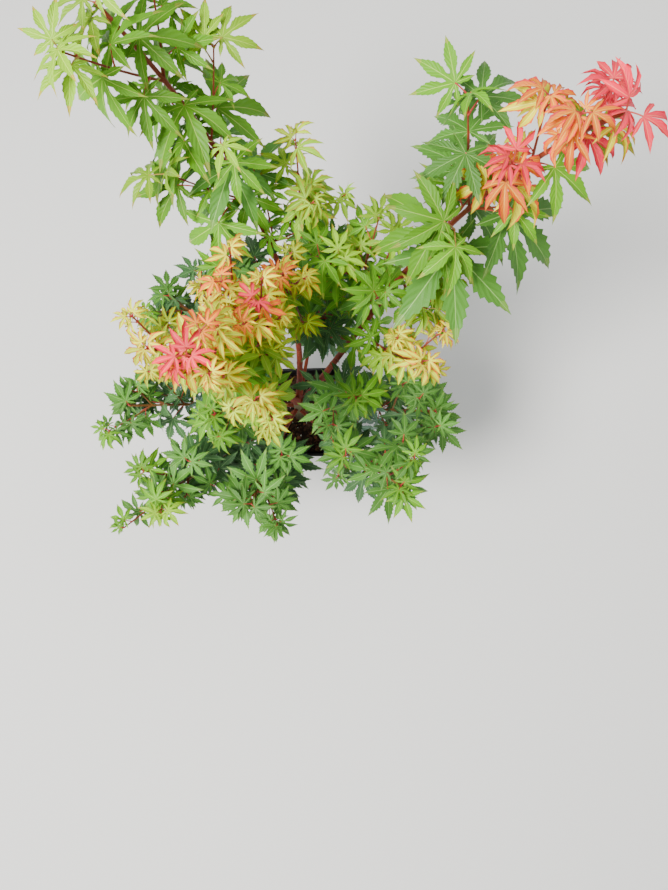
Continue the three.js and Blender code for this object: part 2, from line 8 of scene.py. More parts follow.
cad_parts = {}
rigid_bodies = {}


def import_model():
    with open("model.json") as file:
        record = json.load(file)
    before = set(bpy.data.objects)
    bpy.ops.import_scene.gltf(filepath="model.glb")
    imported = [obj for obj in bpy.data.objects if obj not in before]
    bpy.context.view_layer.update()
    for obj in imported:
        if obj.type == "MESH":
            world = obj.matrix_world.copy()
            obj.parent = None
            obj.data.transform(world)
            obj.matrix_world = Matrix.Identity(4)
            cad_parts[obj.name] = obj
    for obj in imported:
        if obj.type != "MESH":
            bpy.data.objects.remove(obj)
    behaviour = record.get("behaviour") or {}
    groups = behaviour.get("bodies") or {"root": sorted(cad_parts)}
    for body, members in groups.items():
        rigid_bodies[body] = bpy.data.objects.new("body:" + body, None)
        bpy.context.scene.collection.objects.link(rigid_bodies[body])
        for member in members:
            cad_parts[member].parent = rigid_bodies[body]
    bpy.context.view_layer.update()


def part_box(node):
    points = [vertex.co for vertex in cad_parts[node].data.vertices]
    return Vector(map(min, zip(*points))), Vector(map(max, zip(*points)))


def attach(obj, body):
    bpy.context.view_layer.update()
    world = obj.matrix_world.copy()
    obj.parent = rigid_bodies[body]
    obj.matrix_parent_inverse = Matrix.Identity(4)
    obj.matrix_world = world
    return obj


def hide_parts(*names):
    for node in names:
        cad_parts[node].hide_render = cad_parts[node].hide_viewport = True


# A young japanese maple in a black nursery pot, dressed over its frame.
# Growth is worked out in millimetres, as in the frame's source, and scaled to metres in the meshes.

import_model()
mm = 0.001
upward = Vector((0, 0, 1))


def mix(first, second, share):
    return first + (second - first) * share


def radial(angle):
    return Vector((math.cos(angle), math.sin(angle), 0))


def linearColour(code):
    # a written colour such as e58a5c as linear red, green, blue and alpha
    parts = [int(code[start:start + 2], 16) / 255 for start in (0, 2, 4)]
    return [part / 12.92 if part <= 0.04045 else ((part + 0.055) / 1.055) ** 2.4 for part in parts] + [1]


class Seeded:
    # the source's repeatable numbers from 0 to 1
    def __init__(self, seed):
        self.state = (seed * 2654435761) % 2 ** 32

    def __call__(self):
        self.state = (self.state * 1664525 + 1013904223) % 2 ** 32
        return self.state / 2 ** 32

    def spread(self, least, extra):
        return least + extra * self()


def addObject(name, data, shelf=None):
    piece = bpy.data.objects.new(name, data)
    (shelf or bpy.context.scene.collection).objects.link(piece)
    return piece


def addMesh(name, points, faces=(), edges=(), values=(), shelf=None, smooth=True):
    # a mesh object; values are attributes, each a name, a kind, a domain and its numbers
    mesh = bpy.data.meshes.new(name)
    mesh.from_pydata([tuple(point) for point in points], edges, faces)
    for label, kind, domain, numbers in values:
        field = "vector" if kind == "FLOAT_VECTOR" else "value"
        mesh.attributes.new(label, kind, domain).data.foreach_set(field, numbers)
    mesh.update()
    if smooth:
        mesh.shade_smooth()
    return addObject(name, mesh, shelf)


def emptyShelf(shelf):
    for form in list(shelf.objects):
        bpy.data.objects.remove(form)
    bpy.data.collections.remove(shelf)


def ridePiece(piece, slotName, *nodes):
    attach(piece, "root")
    if nodes:
        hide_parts(*nodes)


# Materials

def addNode(tree, kind, inputs=None, output=0, **settings):
    # a node with its settings and its inputs, sockets or plain values, that gives one output
    node = tree.nodes.new(kind)
    for name, value in settings.items():
        setattr(node, name, value)
    for key, value in (inputs or {}).items():
        if isinstance(value, bpy.types.NodeSocket):
            tree.links.new(value, node.inputs[key])
        else:
            node.inputs[key].default_value = value
    return node.outputs[output]


def doMath(tree, operation, first, second=0):
    return addNode(tree, "ShaderNodeMath", {0: first, 1: second}, operation=operation)


def newMaterial(name, colour, specular, roughness=0.5):
    material = bpy.data.materials.new(name)
    material.use_nodes = True
    inputs = material.node_tree.nodes["Principled BSDF"].inputs
    inputs["Base Color"].default_value = linearColour(colour)
    inputs["Specular IOR Level"].default_value = specular
    inputs["Roughness"].default_value = roughness
    return material, material.node_tree


def toShader(tree, label, value):
    tree.links.new(value, tree.nodes["Principled BSDF"].inputs[label])


def noiseOn(tree, scale, detail=3, stretch=None):
    place = addNode(tree, "ShaderNodeTexCoord", output="Object")
    if stretch:
        place = addNode(tree, "ShaderNodeMapping", {"Vector": place, "Scale": stretch})
    return addNode(tree, "ShaderNodeTexNoise", {"Vector": place, "Scale": scale, "Detail": detail})


def remap(tree, value, low, high, fromLow=0.3, fromHigh=0.7):
    return addNode(tree, "ShaderNodeMapRange", {
        "Value": value, "From Min": fromLow, "From Max": fromHigh, "To Min": low, "To Max": high,
    })


def bumpBy(tree, height, strength, distance):
    bump = {"Height": height, "Strength": strength, "Distance": distance}
    toShader(tree, "Normal", addNode(tree, "ShaderNodeBump", bump))


def blendColours(tree, share, stops):
    ramp = addNode(tree, "ShaderNodeValToRGB", {"Fac": share})
    elements = ramp.node.color_ramp.elements
    while len(elements) < len(stops):
        elements.new(0.5)
    for element, (place, colour) in zip(elements, stops):
        element.position = place
        element.color = linearColour(colour)
    return ramp


def cloudyMaterial(name, colour, specular, cloud, gloss, tones=None, relief=None, bump=None):
    # clouds of gloss and tone, and a relief from the same clouds or from finer ones
    material, tree = newMaterial(name, colour, specular)
    clouds = noiseOn(tree, *cloud)
    toShader(tree, "Roughness", remap(tree, clouds, *gloss))
    if tones:
        toShader(tree, "Base Color", blendColours(tree, clouds, tones))
    if bump:
        bumpBy(tree, noiseOn(tree, *relief) if relief else clouds, *bump)
    return material


leafTints = [  # from a leaf's first days to full age: blade, edge and vein
    ("coral", "f8304c", "ea163c", "fa7a60"),
    ("salmon", "f08010", "e63038", "f8c444"),
    ("apricot", "dcd808", "e2601c", "f0ec5c"),
    ("honey", "ccd80c", "d8801c", "e8ee60"),
    ("lemon", "b0d00e", "c09a20", "d8e860"),
    ("lime", "88b80e", "ac9a28", "bcd850"),
    ("spring", "5e9a0e", "86962a", "9ec24c"),
    ("meadow", "4c8228", "668c34", "88b45c"),
    ("deep", "406a38", "4e7440", "78a062"),
    ("seaGreen", "5a8068", "6a8e78", "94b49a"),
]
leafFinish = dict(
    specular=0.35, gloss=(0.42, 0.62), cloud=170, grain=1400, veins=8.0, veinSlant=1.7, veinHeight=2.2,
    bump=(0.34, 0.0006), shades=2, shadeStep=0.16,
)


def leafMaterial(name, colour, veined):
    # one plain colour, with the lateral veins and a fine grain as relief
    material, tree = newMaterial(name, colour, leafFinish["specular"])
    height = noiseOn(tree, leafFinish["grain"], 2)
    if veined:
        blade = addNode(tree, "ShaderNodeUVMap", uv_map="leafUV")
        parts = addNode(tree, "ShaderNodeSeparateXYZ", {"Vector": blade}).node.outputs
        along = doMath(tree, "MULTIPLY", parts["X"], leafFinish["veins"])
        slant = doMath(tree, "MULTIPLY", doMath(tree, "ABSOLUTE", parts["Y"]), leafFinish["veinSlant"])
        wave = doMath(tree, "PINGPONG", doMath(tree, "SUBTRACT", along, slant), 0.5)
        height = doMath(tree, "ADD", doMath(tree, "MULTIPLY", wave, leafFinish["veinHeight"]), height)
    bumpBy(tree, height, *leafFinish["bump"])
    clouds = noiseOn(tree, leafFinish["cloud"])
    toShader(tree, "Roughness", remap(tree, clouds, *leafFinish["gloss"]))
    return material


def shaded(code, amount):
    parts = [int(code[start:start + 2], 16) for start in (0, 2, 4)]
    return "".join(f"{max(0, min(255, round(part * (1 + amount)))):02x}" for part in parts)


def makeLeafMaterials():
    made = []
    for name, *colours in leafTints:
        for shade in range(leafFinish["shades"]):
            amount = leafFinish["shadeStep"] * (0.5 - shade)
            for part, colour in zip(("Blade", "Edge", "Vein"), colours):
                made.append(leafMaterial(f"{name}{part}{shade + 1}", shaded(colour, amount), part != "Vein"))
    return made


twigColours = {
    "redShoot": "88381f", "greenShoot": "80562a", "redStalk": "bc4438", "greenStalk": "a88c3c",
    "axilBud": "b03a34",
}
twigFinish = dict(
    specular=0.4, cloud=(240,), gloss=(0.4, 0.62), relief=(1800, 3, (1, 1, 0.3)), bump=(0.35, 0.0004),
)
barks = dict(
    trunkBark=dict(
        tones=[(0.2, "4c4433"), (0.45, "6f6a4c"), (0.62, "857c5c"), (0.85, "5b4a38")],
        sides=20, relief=0.0011, reliefScale=420.0, slot="old_bark",
    ),
    redBark=dict(
        tones=[(0.2, "521d14"), (0.48, "843222"), (0.66, "984628"), (0.9, "62261a")],
        sides=12, relief=0.00035, reliefScale=620.0, slot="red_bark",
    ),
)
barkFinish = dict(
    specular=0.35, streaks=(260, 5, (1, 1, 0.22)), gloss=(0.5, 0.75), pore="b39a78", poreScale=420,
    poreEdge=(0.06, 0.14), poreTone=0.7, poreHeight=0.3, bump=(0.6, 0.0008),
)


def barkMaterial(name):
    # streaks along the limb, with small pale pores
    tones = barks[name]["tones"]
    material, tree = newMaterial(name, tones[1][1], barkFinish["specular"])
    streaks = noiseOn(tree, *barkFinish["streaks"])
    place = addNode(tree, "ShaderNodeTexCoord", output="Object")
    pores = addNode(tree, "ShaderNodeTexVoronoi", {"Vector": place, "Scale": barkFinish["poreScale"]})
    poreShare = remap(tree, pores, 1, 0, *barkFinish["poreEdge"])
    toShader(tree, "Base Color", addNode(tree, "ShaderNodeMix", {
        0: doMath(tree, "MULTIPLY", poreShare, barkFinish["poreTone"]),
        6: blendColours(tree, streaks, tones), 7: linearColour(barkFinish["pore"]),
    }, output=2, data_type="RGBA"))
    poreHeight = doMath(tree, "MULTIPLY", poreShare, barkFinish["poreHeight"])
    bumpBy(tree, doMath(tree, "ADD", streaks, poreHeight), *barkFinish["bump"])
    toShader(tree, "Roughness", remap(tree, streaks, *barkFinish["gloss"]))
    return material


# Node trees

def startTree(name, inputs):
    # every tree also takes a Geometry and a Material
    tree = bpy.data.node_groups.new(name, "GeometryNodeTree")
    for label, kind in {"Geometry": "Geometry", **inputs, "Material": "Material"}.items():
        tree.interface.new_socket(label, in_out="INPUT", socket_type="NodeSocket" + kind)
    tree.interface.new_socket("Geometry", in_out="OUTPUT", socket_type="NodeSocketGeometry")
    return tree, tree.nodes.new("NodeGroupInput").outputs


def attributeIn(tree, name, kind):
    return addNode(tree, "GeometryNodeInputNamedAttribute", {"Name": name}, "Attribute", data_type=kind)


def formsOn(tree, given, points, how):
    # one of a collection's forms on every point
    forms = addNode(tree, "GeometryNodeCollectionInfo", {
        "Collection": given["Forms"], "Separate Children": True, "Reset Children": True,
    })
    return addNode(tree, "GeometryNodeInstanceOnPoints", {
        "Points": points, "Instance": forms, "Pick Instance": True, **how,
    })


def endTree(tree, given, geometry):
    whole = addNode(tree, "GeometryNodeRealizeInstances", {"Geometry": geometry})
    dressed = addNode(tree, "GeometryNodeSetMaterial", {"Geometry": whole, "Material": given["Material"]})
    tree.links.new(dressed, tree.nodes.new("NodeGroupOutput").inputs["Geometry"])
    return tree


def makeSkinTree():
    # a closed skin along every run of edges, as thick as its girth, with the bark's relief
    tree, given = startTree("barkSkin", {"Sides": "Int", "Relief": "Float", "Relief Scale": "Float"})
    skin = addNode(tree, "GeometryNodeCurveToMesh", {
        "Curve": addNode(tree, "GeometryNodeMeshToCurve", {"Mesh": given["Geometry"]}),
        "Profile Curve": addNode(tree, "GeometryNodeCurvePrimitiveCircle", {
            "Resolution": given["Sides"], "Radius": 1,
        }),
        "Scale": attributeIn(tree, "girth", "FLOAT"), "Fill Caps": True,
    })
    drawnOut = addNode(tree, "ShaderNodeVectorMath", {
        0: addNode(tree, "GeometryNodeInputPosition"), 1: (1, 1, 0.25),
    }, operation="MULTIPLY")
    ripple = addNode(tree, "ShaderNodeTexNoise", {"Vector": drawnOut, "Scale": given["Relief Scale"]})
    offset = addNode(tree, "ShaderNodeVectorMath", {
        0: addNode(tree, "GeometryNodeInputNormal", output="Normal"),
        "Scale": doMath(tree, "MULTIPLY", doMath(tree, "SUBTRACT", ripple, 0.5), given["Relief"]),
    }, operation="SCALE")
    return endTree(tree, given, addNode(tree, "GeometryNodeSetPosition", {
        "Geometry": skin, "Offset": offset,
    }))


def makeSprayTree():
    # a leaf on every point, turned, sized and picked by what the point says
    tree, given = startTree("leafSpray", {"Forms": "Collection"})
    turn = attributeIn(tree, "turn", "FLOAT_VECTOR")
    return endTree(tree, given, formsOn(tree, given, given["Geometry"], {
        "Instance Index": attributeIn(tree, "form", "INT"), "Scale": attributeIn(tree, "size", "FLOAT"),
        "Rotation": addNode(tree, "FunctionNodeEulerToRotation", {"Euler": turn}),
    }))


def makeToppingTree():
    # loose grains strewn over the soil's top
    tree, given = startTree("soilTopping", {
        "Forms": "Collection", "Spacing": "Float", "Density": "Float", "Seed": "Int",
        "Smallest": "Float", "Largest": "Float",
    })
    points = addNode(tree, "GeometryNodeDistributePointsOnFaces", {
        "Mesh": given["Geometry"], "Distance Min": given["Spacing"], "Density Max": given["Density"],
        "Seed": given["Seed"],
    }, distribute_method="POISSON")
    return endTree(tree, given, formsOn(tree, given, points, {
        "Scale": addNode(tree, "FunctionNodeRandomValue", {
            2: given["Smallest"], 3: given["Largest"], "Seed": given["Seed"],
        }, output=1),
        "Rotation": addNode(tree, "FunctionNodeRandomValue", {
            0: (-0.5, -0.5, 0), 1: (0.5, 0.5, 6.28),
        }, data_type="FLOAT_VECTOR"),
    }))


def makePlain(piece):
    # the evaluated shape as a plain mesh, with no modifier left
    depsgraph = bpy.context.evaluated_depsgraph_get()
    shown = piece.evaluated_get(depsgraph)
    mesh = bpy.data.meshes.new_from_object(shown, preserve_all_data_layers=True, depsgraph=depsgraph)
    mesh.name = piece.name
    piece.modifiers.clear()
    piece.data = mesh
    return mesh


def runTree(piece, tree, settings):
    modifier = piece.modifiers.new(tree.name, "NODES")
    modifier.node_group = tree
    for item in tree.interface.items_tree:
        if item.in_out == "INPUT" and item.name in settings:
            modifier[item.identifier] = settings[item.name]
    piece.update_tag()
    return makePlain(piece)


def faceValues(mesh, name):
    # an attribute of whole numbers, one for each face
    attribute = mesh.attributes[name]
    values = [item.value for item in attribute.data]
    if attribute.domain == "POINT":
        values = [values[face.vertices[0]] for face in mesh.polygons]
    return np.array(values)


def dealMaterials(mesh, numbers, materials):
    # gives each face the material of its number, and drops the attributes that led to it
    used = sorted(set(numbers.tolist()))
    mesh.materials.clear()
    for number in used:
        mesh.materials.append(materials[number])
    mesh.polygons.foreach_set("material_index", np.searchsorted(used, numbers).astype(np.int32))
    for name in ("tint", "zone", "form", "size", "turn", "kind", "girth"):
        if name in mesh.attributes:
            mesh.attributes.remove(mesh.attributes[name])
    mesh.update()


# Limbs, with the same bearings, leans and lengths as the frame's own, at foot, middle and tip.
# Each but the trunk starts at a share of the trunk's length and is bare up to a share of its own.

limbSteps = 24
soilTop = 78
seatGap = 0.3
limbs = {
    "trunk": dict(bearing=(60, 60, 60), lean=(4, 7, 8), length=50, radius=(4.7, 3.9), bare=1),
    "leader_middle": dict(
        at=1, bearing=(225, 215, 225), lean=(3, 5, 7), length=266, radius=(2.9, 1.3), bare=0.66,
    ),
    "leader_right": dict(
        at=0.68, bearing=(34, 28, -25), lean=(45, 32, 30), length=404, radius=(3.0, 1.2), bare=0.61,
    ),
    "leader_back": dict(
        at=0.88, bearing=(70, 114, 155), lean=(44, 31, 24), length=363, radius=(2.8, 1.2), bare=0.56,
    ),
}

# Foliage: each spray's stem as in the frame, with more and finer growth on it. The first word of
# its name tells the leader. Leaves are the lengths of the first and last ones, ages the tints at the
# foot and at the tip of the stem.

youngSpray = dict(radius=(1.2, 0.8), pairs=6, sprigs=5, tips=5)
greenSpray = dict(radius=(1.1, 0.8), pairs=5, sprigs=4, tips=4)
lowSpray = dict(pairs=7, leaves=(38, 25), sprigs=7, tips=4)
sprays = {
    "middle_top": dict(
        seed=11, pairs=8, leaves=(27, 20), sprigs=7, ages=(5.7, 0), ageCurve=2.2, tips=9,
        slot="leaf_coral",
    ),
    "right_top": dict(
        seed=23, pairs=6, leaves=(60, 22), sprigs=5, ages=(6.9, 0), ageCurve=4.4,
        early={2: (1.6, 0), 3: (3, 1.6), 4: (1, 0)}, sprigShare=0.95, tips=8, slot="leaf_spring",
    ),
    "back_top": dict(
        seed=35, pairs=7, leaves=(48, 38), sprigs=5, ages=(6.7, 5.3), tips=5, slot="leaf_spring",
    ),
    "middle_left": dict(
        youngSpray, at=0.58, bearing=(165, 176, 190), lean=(46, 28, 12), length=94, seed=41,
        leaves=(26, 16), ages=(5.4, 2.3), ageCurve=2.6, slot="leaf_orange",
    ),
    "middle_back": dict(
        youngSpray, at=0.53, bearing=(85, 94, 100), lean=(42, 26, 14), length=100, seed=53,
        leaves=(26, 16), ages=(5.6, 0.5), ageCurve=3, slot="leaf_orange",
    ),
    "middle_right": dict(
        youngSpray, at=0.6, bearing=(48, 50, 62), lean=(40, 24, 10), length=92, seed=65,
        leaves=(26, 16), ages=(5.7, 0), ageCurve=2.6, tips=6, slot="leaf_yellow",
    ),
    "middle_front": dict(
        youngSpray, at=0.5, bearing=(-64, -52, -40), lean=(40, 18, 6), length=92, seed=77,
        leaves=(27, 17), ages=(5.8, 2.8), ageCurve=2.2, slot="leaf_yellow",
    ),
    "middle_low": dict(
        greenSpray, at=0.2, bearing=(216, 206, 196), lean=(60, 44, 30), length=74, radius=(1.2, 0.8),
        seed=239, leaves=(34, 24), ages=(8.4, 6.4), slot="leaf_green",
    ),
    "right_base": dict(
        greenSpray, at=0.13, bearing=(-52, -40, -26), lean=(58, 36, 22), length=76, radius=(1.2, 0.8),
        seed=251, leaves=(34, 24), ages=(8.4, 6.2), slot="leaf_green",
    ),
    "right_inner": dict(
        youngSpray, at=0.31, bearing=(-50, -39, -30), lean=(56, 44, 26), length=96, seed=81,
        leaves=(29, 18), ages=(5.8, 2), ageCurve=2, slot="leaf_orange",
    ),
    "right_low": dict(
        greenSpray, at=0.26, bearing=(112, 122, 130), lean=(62, 50, 40), length=52, seed=93,
        leaves=(35, 26), ages=(8, 6.4), slot="leaf_green",
    ),
    "right_mid": dict(
        greenSpray, at=0.4, bearing=(104, 116, 124), lean=(58, 46, 36), length=46, seed=105,
        leaves=(38, 26), ages=(6.8, 5), slot="leaf_spring",
    ),
    "right_outer": dict(
        greenSpray, at=0.49, bearing=(-70, -62, -56), lean=(64, 52, 40), length=46, seed=117,
        leaves=(40, 26), ages=(6.4, 4.6), slot="leaf_spring",
    ),
    "back_inner": dict(
        youngSpray, at=0.3, bearing=(-40, -50, -60), lean=(28, 5, 2), length=112, seed=121,
        leaves=(29, 17), ages=(6.2, 1.2), ageCurve=2.4, slot="leaf_orange",
    ),
    "back_left": dict(
        greenSpray, at=0.4, bearing=(205, 198, 190), lean=(60, 46, 36), length=56, seed=133,
        leaves=(35, 26), ages=(8, 6.2), slot="leaf_green",
    ),
    "back_right": dict(
        greenSpray, at=0.47, bearing=(22, 30, 36), lean=(58, 44, 34), length=58, seed=145,
        leaves=(37, 25), ages=(7, 4.6), slot="leaf_spring",
    ),
}

# Low boughs, each with the seed, ages and slot of the one spray at its end

boughShape = dict(radius=(1.8, 0.9), bare=0.34)
boughs = {
    "front_right": dict(
        at=0.5, bearing=(-45, -38, -32), lean=(58, 44, 32), length=182, radius=(1.9, 0.9),
        seed=151, ages=(8.6, 6.4), slot="leaf_green",
    ),
    "front": dict(
        at=0.62, bearing=(-112, -100, -94), lean=(52, 40, 28), length=150,
        seed=163, ages=(8.4, 6.6), slot="leaf_green",
    ),
    "front_left": dict(
        at=0.42, bearing=(-140, -136, -130), lean=(60, 42, 28), length=190, radius=(1.9, 0.9),
        seed=175, ages=(8.6, 6.2), slot="leaf_green",
    ),
    "left": dict(
        at=0.7, bearing=(180, 187, 192), lean=(64, 50, 36), length=164,
        seed=187, ages=(9, 7.2), slot="leaf_mature",
    ),
    "back_left": dict(
        at=0.5, bearing=(132, 140, 146), lean=(62, 46, 34), length=168,
        seed=199, ages=(9, 7.4), slot="leaf_mature",
    ),
    "right": dict(
        at=0.38, bearing=(-2, -8, -10), lean=(66, 54, 42), length=160,
        seed=211, ages=(9, 7), slot="leaf_mature",
    ),
    "back_right": dict(
        at=0.45, bearing=(78, 68, 58), lean=(62, 50, 38), length=172,
        seed=223, ages=(9, 7.2), slot="leaf_mature",
    ),
}
for place, bough in boughs.items():
    limbs["bough_" + place] = {**boughShape, **bough}
    own = {key: bough[key] for key in ("seed", "ages", "slot")}
    sprays["low_" + place] = dict(lowSpray, limb="bough_" + place, **own)


def through(values, share):
    start, middle, end = values
    left = 1 - share
    return start * left * (1 - 2 * share) + 4 * middle * share * left + end * share * (2 * share - 1)


def heading(bearing, lean):
    out = math.sin(math.radians(lean))
    turned = math.radians(bearing)
    return Vector((out * math.cos(turned), out * math.sin(turned), math.cos(math.radians(lean))))


def traceLimb(start, plan):
    points = [start.copy()]
    for step in range(limbSteps):
        share = (step + 0.5) / limbSteps
        toward = heading(through(plan["bearing"], share), through(plan["lean"], share))
        points.append(points[-1] + toward * (plan["length"] / limbSteps))
    return points


def pointAt(path, share):
    place = min(share, 1) * (len(path) - 1)
    index = min(int(place), len(path) - 2)
    return path[index].lerp(path[index + 1], place - index)


def directionAt(path, share):
    index = min(int(share * (len(path) - 1)), len(path) - 2)
    return (path[index + 1] - path[index]).normalized()


for name, limb in limbs.items():
    start = Vector((0, 0, soilTop + seatGap))
    if name != "trunk":
        start = pointAt(limbs["trunk"]["path"], limb["at"])
    limb["path"] = traceLimb(start, limb)

for title, spray in sprays.items():
    limb = limbs[spray.get("limb", "leader_" + title.split("_")[0])]
    if "at" in spray:
        spray["path"] = traceLimb(pointAt(limb["path"], spray["at"]), spray)
    else:
        shares = [mix(limb["bare"], 1, step / limbSteps) for step in range(limbSteps + 1)]
        spray["path"] = [pointAt(limb["path"], share) for share in shares]
        spray["radius"] = (mix(*limb["radius"], limb["bare"]), limb["radius"][1])
        spray["length"] = limb["length"] * (1 - limb["bare"])

# Leaf forms, one unit long from the stalk's end to the tip of the middle lobe. Lobes are given
# as the bearing from the middle one and the share of its length; a form serves until an age.

leafForms = {
    "bud": dict(
        until=1.4, lobes=((0, 1), (42, 0.86), (86, 0.6)), notch=0.18, width=0.15, keel=34, bend=1.3,
        teeth=4, tooth=0.1, margin=True, vein=0.014, variants=6, seed=5,
    ),
    "fold": dict(
        until=4.7, lobes=((0, 1), (45, 0.9), (92, 0.68)), notch=0.17, width=0.155, keel=36, bend=1.25,
        teeth=5, tooth=0.12, margin=True, vein=0.014, variants=7, seed=17,
    ),
    "open": dict(
        until=6.8, lobes=((0, 1), (44, 0.94), (90, 0.76), (134, 0.42)), notch=0.18, width=0.135, keel=20,
        bend=0.75, teeth=8, tooth=0.1, margin=False, vein=0.008, variants=7, seed=29,
    ),
    "full": dict(
        until=99, lobes=((0, 1), (42, 0.93), (86, 0.76), (130, 0.44)), notch=0.22, width=0.142, keel=14,
        bend=0.5, teeth=8, tooth=0.2, margin=False, vein=0.008, variants=8, seed=43,
    ),
}
leafCut = dict(
    outline=((0, 0), (0.13, 0.58), (0.26, 0.9), (0.39, 1), (0.54, 0.83), (0.7, 0.5), (0.84, 0.22), (1, 0)),
    foldUpTo=30,  # longer leaves are never folded ones
    roomUsed=0.93,  # of the space up to the neighbouring lobe
    peakAt=0.74,  # teeth point towards the tip
    valleyDepth=0.7, lastValley=0.9, tipZoneFrom=0.66, marginFrom=0.83, veinTaper=0.75,
    firstRib=0.05, veinSlope=0.5,  # side veins run out towards the tip
    outerCorner=(0.1, 0.06), outerRoom=9, ripple=0.16, ripples=9,
)
lobeSpread = dict(angle=7, reach=(0.92, 0.16), bend=(0.55, 0.9), twist=1.3, keel=(0.7, 0.6), ripple=6)
bladeZone, edgeZone, veinZone = range(3)
leafCentre = (0, (0, 0))


def halfWidth(form, share, notchAcross, reach):
    bulge = np.interp(share, *zip(*leafCut["outline"]))
    return max(notchAcross * (1 - share) ** 2, form["width"] * reach * bulge)


def lobeShapes(form, random):
    # each lobe's own shape, from one side of the leaf to the other
    halves = form["lobes"]
    ordered = [(-angle, reach) for angle, reach in reversed(halves[1:])] + list(halves)
    return [dict(
        angle=math.radians(angle + lobeSpread["angle"] * (random() - 0.5)),
        reach=reach * random.spread(*lobeSpread["reach"]),
        bend=form["bend"] * random.spread(*lobeSpread["bend"]),
        twist=lobeSpread["twist"] * (random() - 0.5),
        keel=math.radians(form["keel"] * random.spread(*lobeSpread["keel"])),
        ripple=random() * lobeSpread["ripple"],
    ) for angle, reach in ordered]


def onLobe(lobe, along, across):
    # a place on a lobe that bends down along its midrib and folds up from it
    outward = Vector((math.sin(lobe["angle"]), math.cos(lobe["angle"]), 0))
    sideways = Vector((math.cos(lobe["angle"]), -math.sin(lobe["angle"]), 0))
    bent = lobe["bend"] * max(along, 0.001)
    onRib = outward * (math.sin(bent) / lobe["bend"]) - upward * ((1 - math.cos(bent)) / lobe["bend"])
    normal = outward * math.sin(bent) + upward * math.cos(bent)
    turn = lobe["twist"] * along * along
    across3d = sideways * math.cos(turn) + normal * math.sin(turn)
    normal = normal * math.cos(turn) - sideways * math.sin(turn)
    waved = leafCut["ripple"] * abs(across) * math.sin(leafCut["ripples"] * along + lobe["ripple"])
    lift = abs(across) * math.sin(lobe["keel"]) + waved
    return onRib + across3d * (across * math.cos(lobe["keel"])) + normal * lift


class LeafMesh:
    # a leaf form in the making, where a corner is a point's number and its place on the flat map
    def __init__(self):
        self.points, self.faces, self.zones, self.maps = [Vector((0, 0, 0))], [], [], []

    def addPoint(self, place):
        self.points.append(place)
        return len(self.points) - 1

    def addFace(self, corners, zone, side=1):
        # corners run anticlockwise on a lobe's right side, and are turned round on its left
        turned = corners[::side]
        self.faces.append([number for number, _ in turned])
        self.maps.extend(place for _, place in turned)
        self.zones.append(zone)


def addNotches(leaf, form, lobes):
    # the points between neighbouring lobes, with their places along and across either one
    notches = []
    for first, second in zip(lobes, lobes[1:]):
        half = (second["angle"] - first["angle"]) / 2
        reach = form["notch"] * (first["reach"] + second["reach"]) / 2
        along, across = reach * math.cos(half), reach * math.sin(half)
        middle = (onLobe(first, along, across) + onLobe(second, along, -across)) / 2
        notches.append((leaf.addPoint(middle), along, across))
    return notches


def startSides(leaf, lobes, index, notches):
    # the corner where each side of a lobe starts, its place and the room beside it
    sides = {}
    for side, notch in ((1, index), (-1, index - 1)):
        if 0 <= notch < len(notches):
            apart = abs(lobes[index + side]["angle"] - lobes[index]["angle"])
            sides[side] = (*notches[notch], leafCut["roomUsed"] * math.tan(apart / 2))
        else:
            along, across = leafCut["outerCorner"]
            corner = leaf.addPoint(onLobe(lobes[index], along, side * across))
            sides[side] = (corner, along, across, leafCut["outerRoom"])
    return sides


def addVein(leaf, form, lobe, sides, shares, tip):
    # the strip along a lobe's midrib; gives the corners on each side of it
    reach = lobe["reach"]
    ribs = []
    for share in shares:
        middle = sum(mix(start[1], reach, share) for start in sides.values()) / 2
        wide = halfWidth(form, share, sum(start[2] for start in sides.values()) / 2, reach)
        ribs.append(max(leafCut["firstRib"], middle - leafCut["veinSlope"] * wide))
    veins = {}
    for side in sides:
        veins[side] = []
        for along in ribs:
            half = form["vein"] * (1 - leafCut["veinTaper"] * along / reach)
            veins[side].append((leaf.addPoint(onLobe(lobe, along, side * half)), (along / reach, 0)))
    right, left = veins[1], veins[-1]
    leaf.addFace([leafCentre, right[0], left[0]], veinZone)
    for step in range(len(ribs) - 1):
        leaf.addFace([left[step], right[step], right[step + 1], left[step + 1]], veinZone)
    leaf.addFace([left[-1], right[-1], tip], veinZone)
    return veins


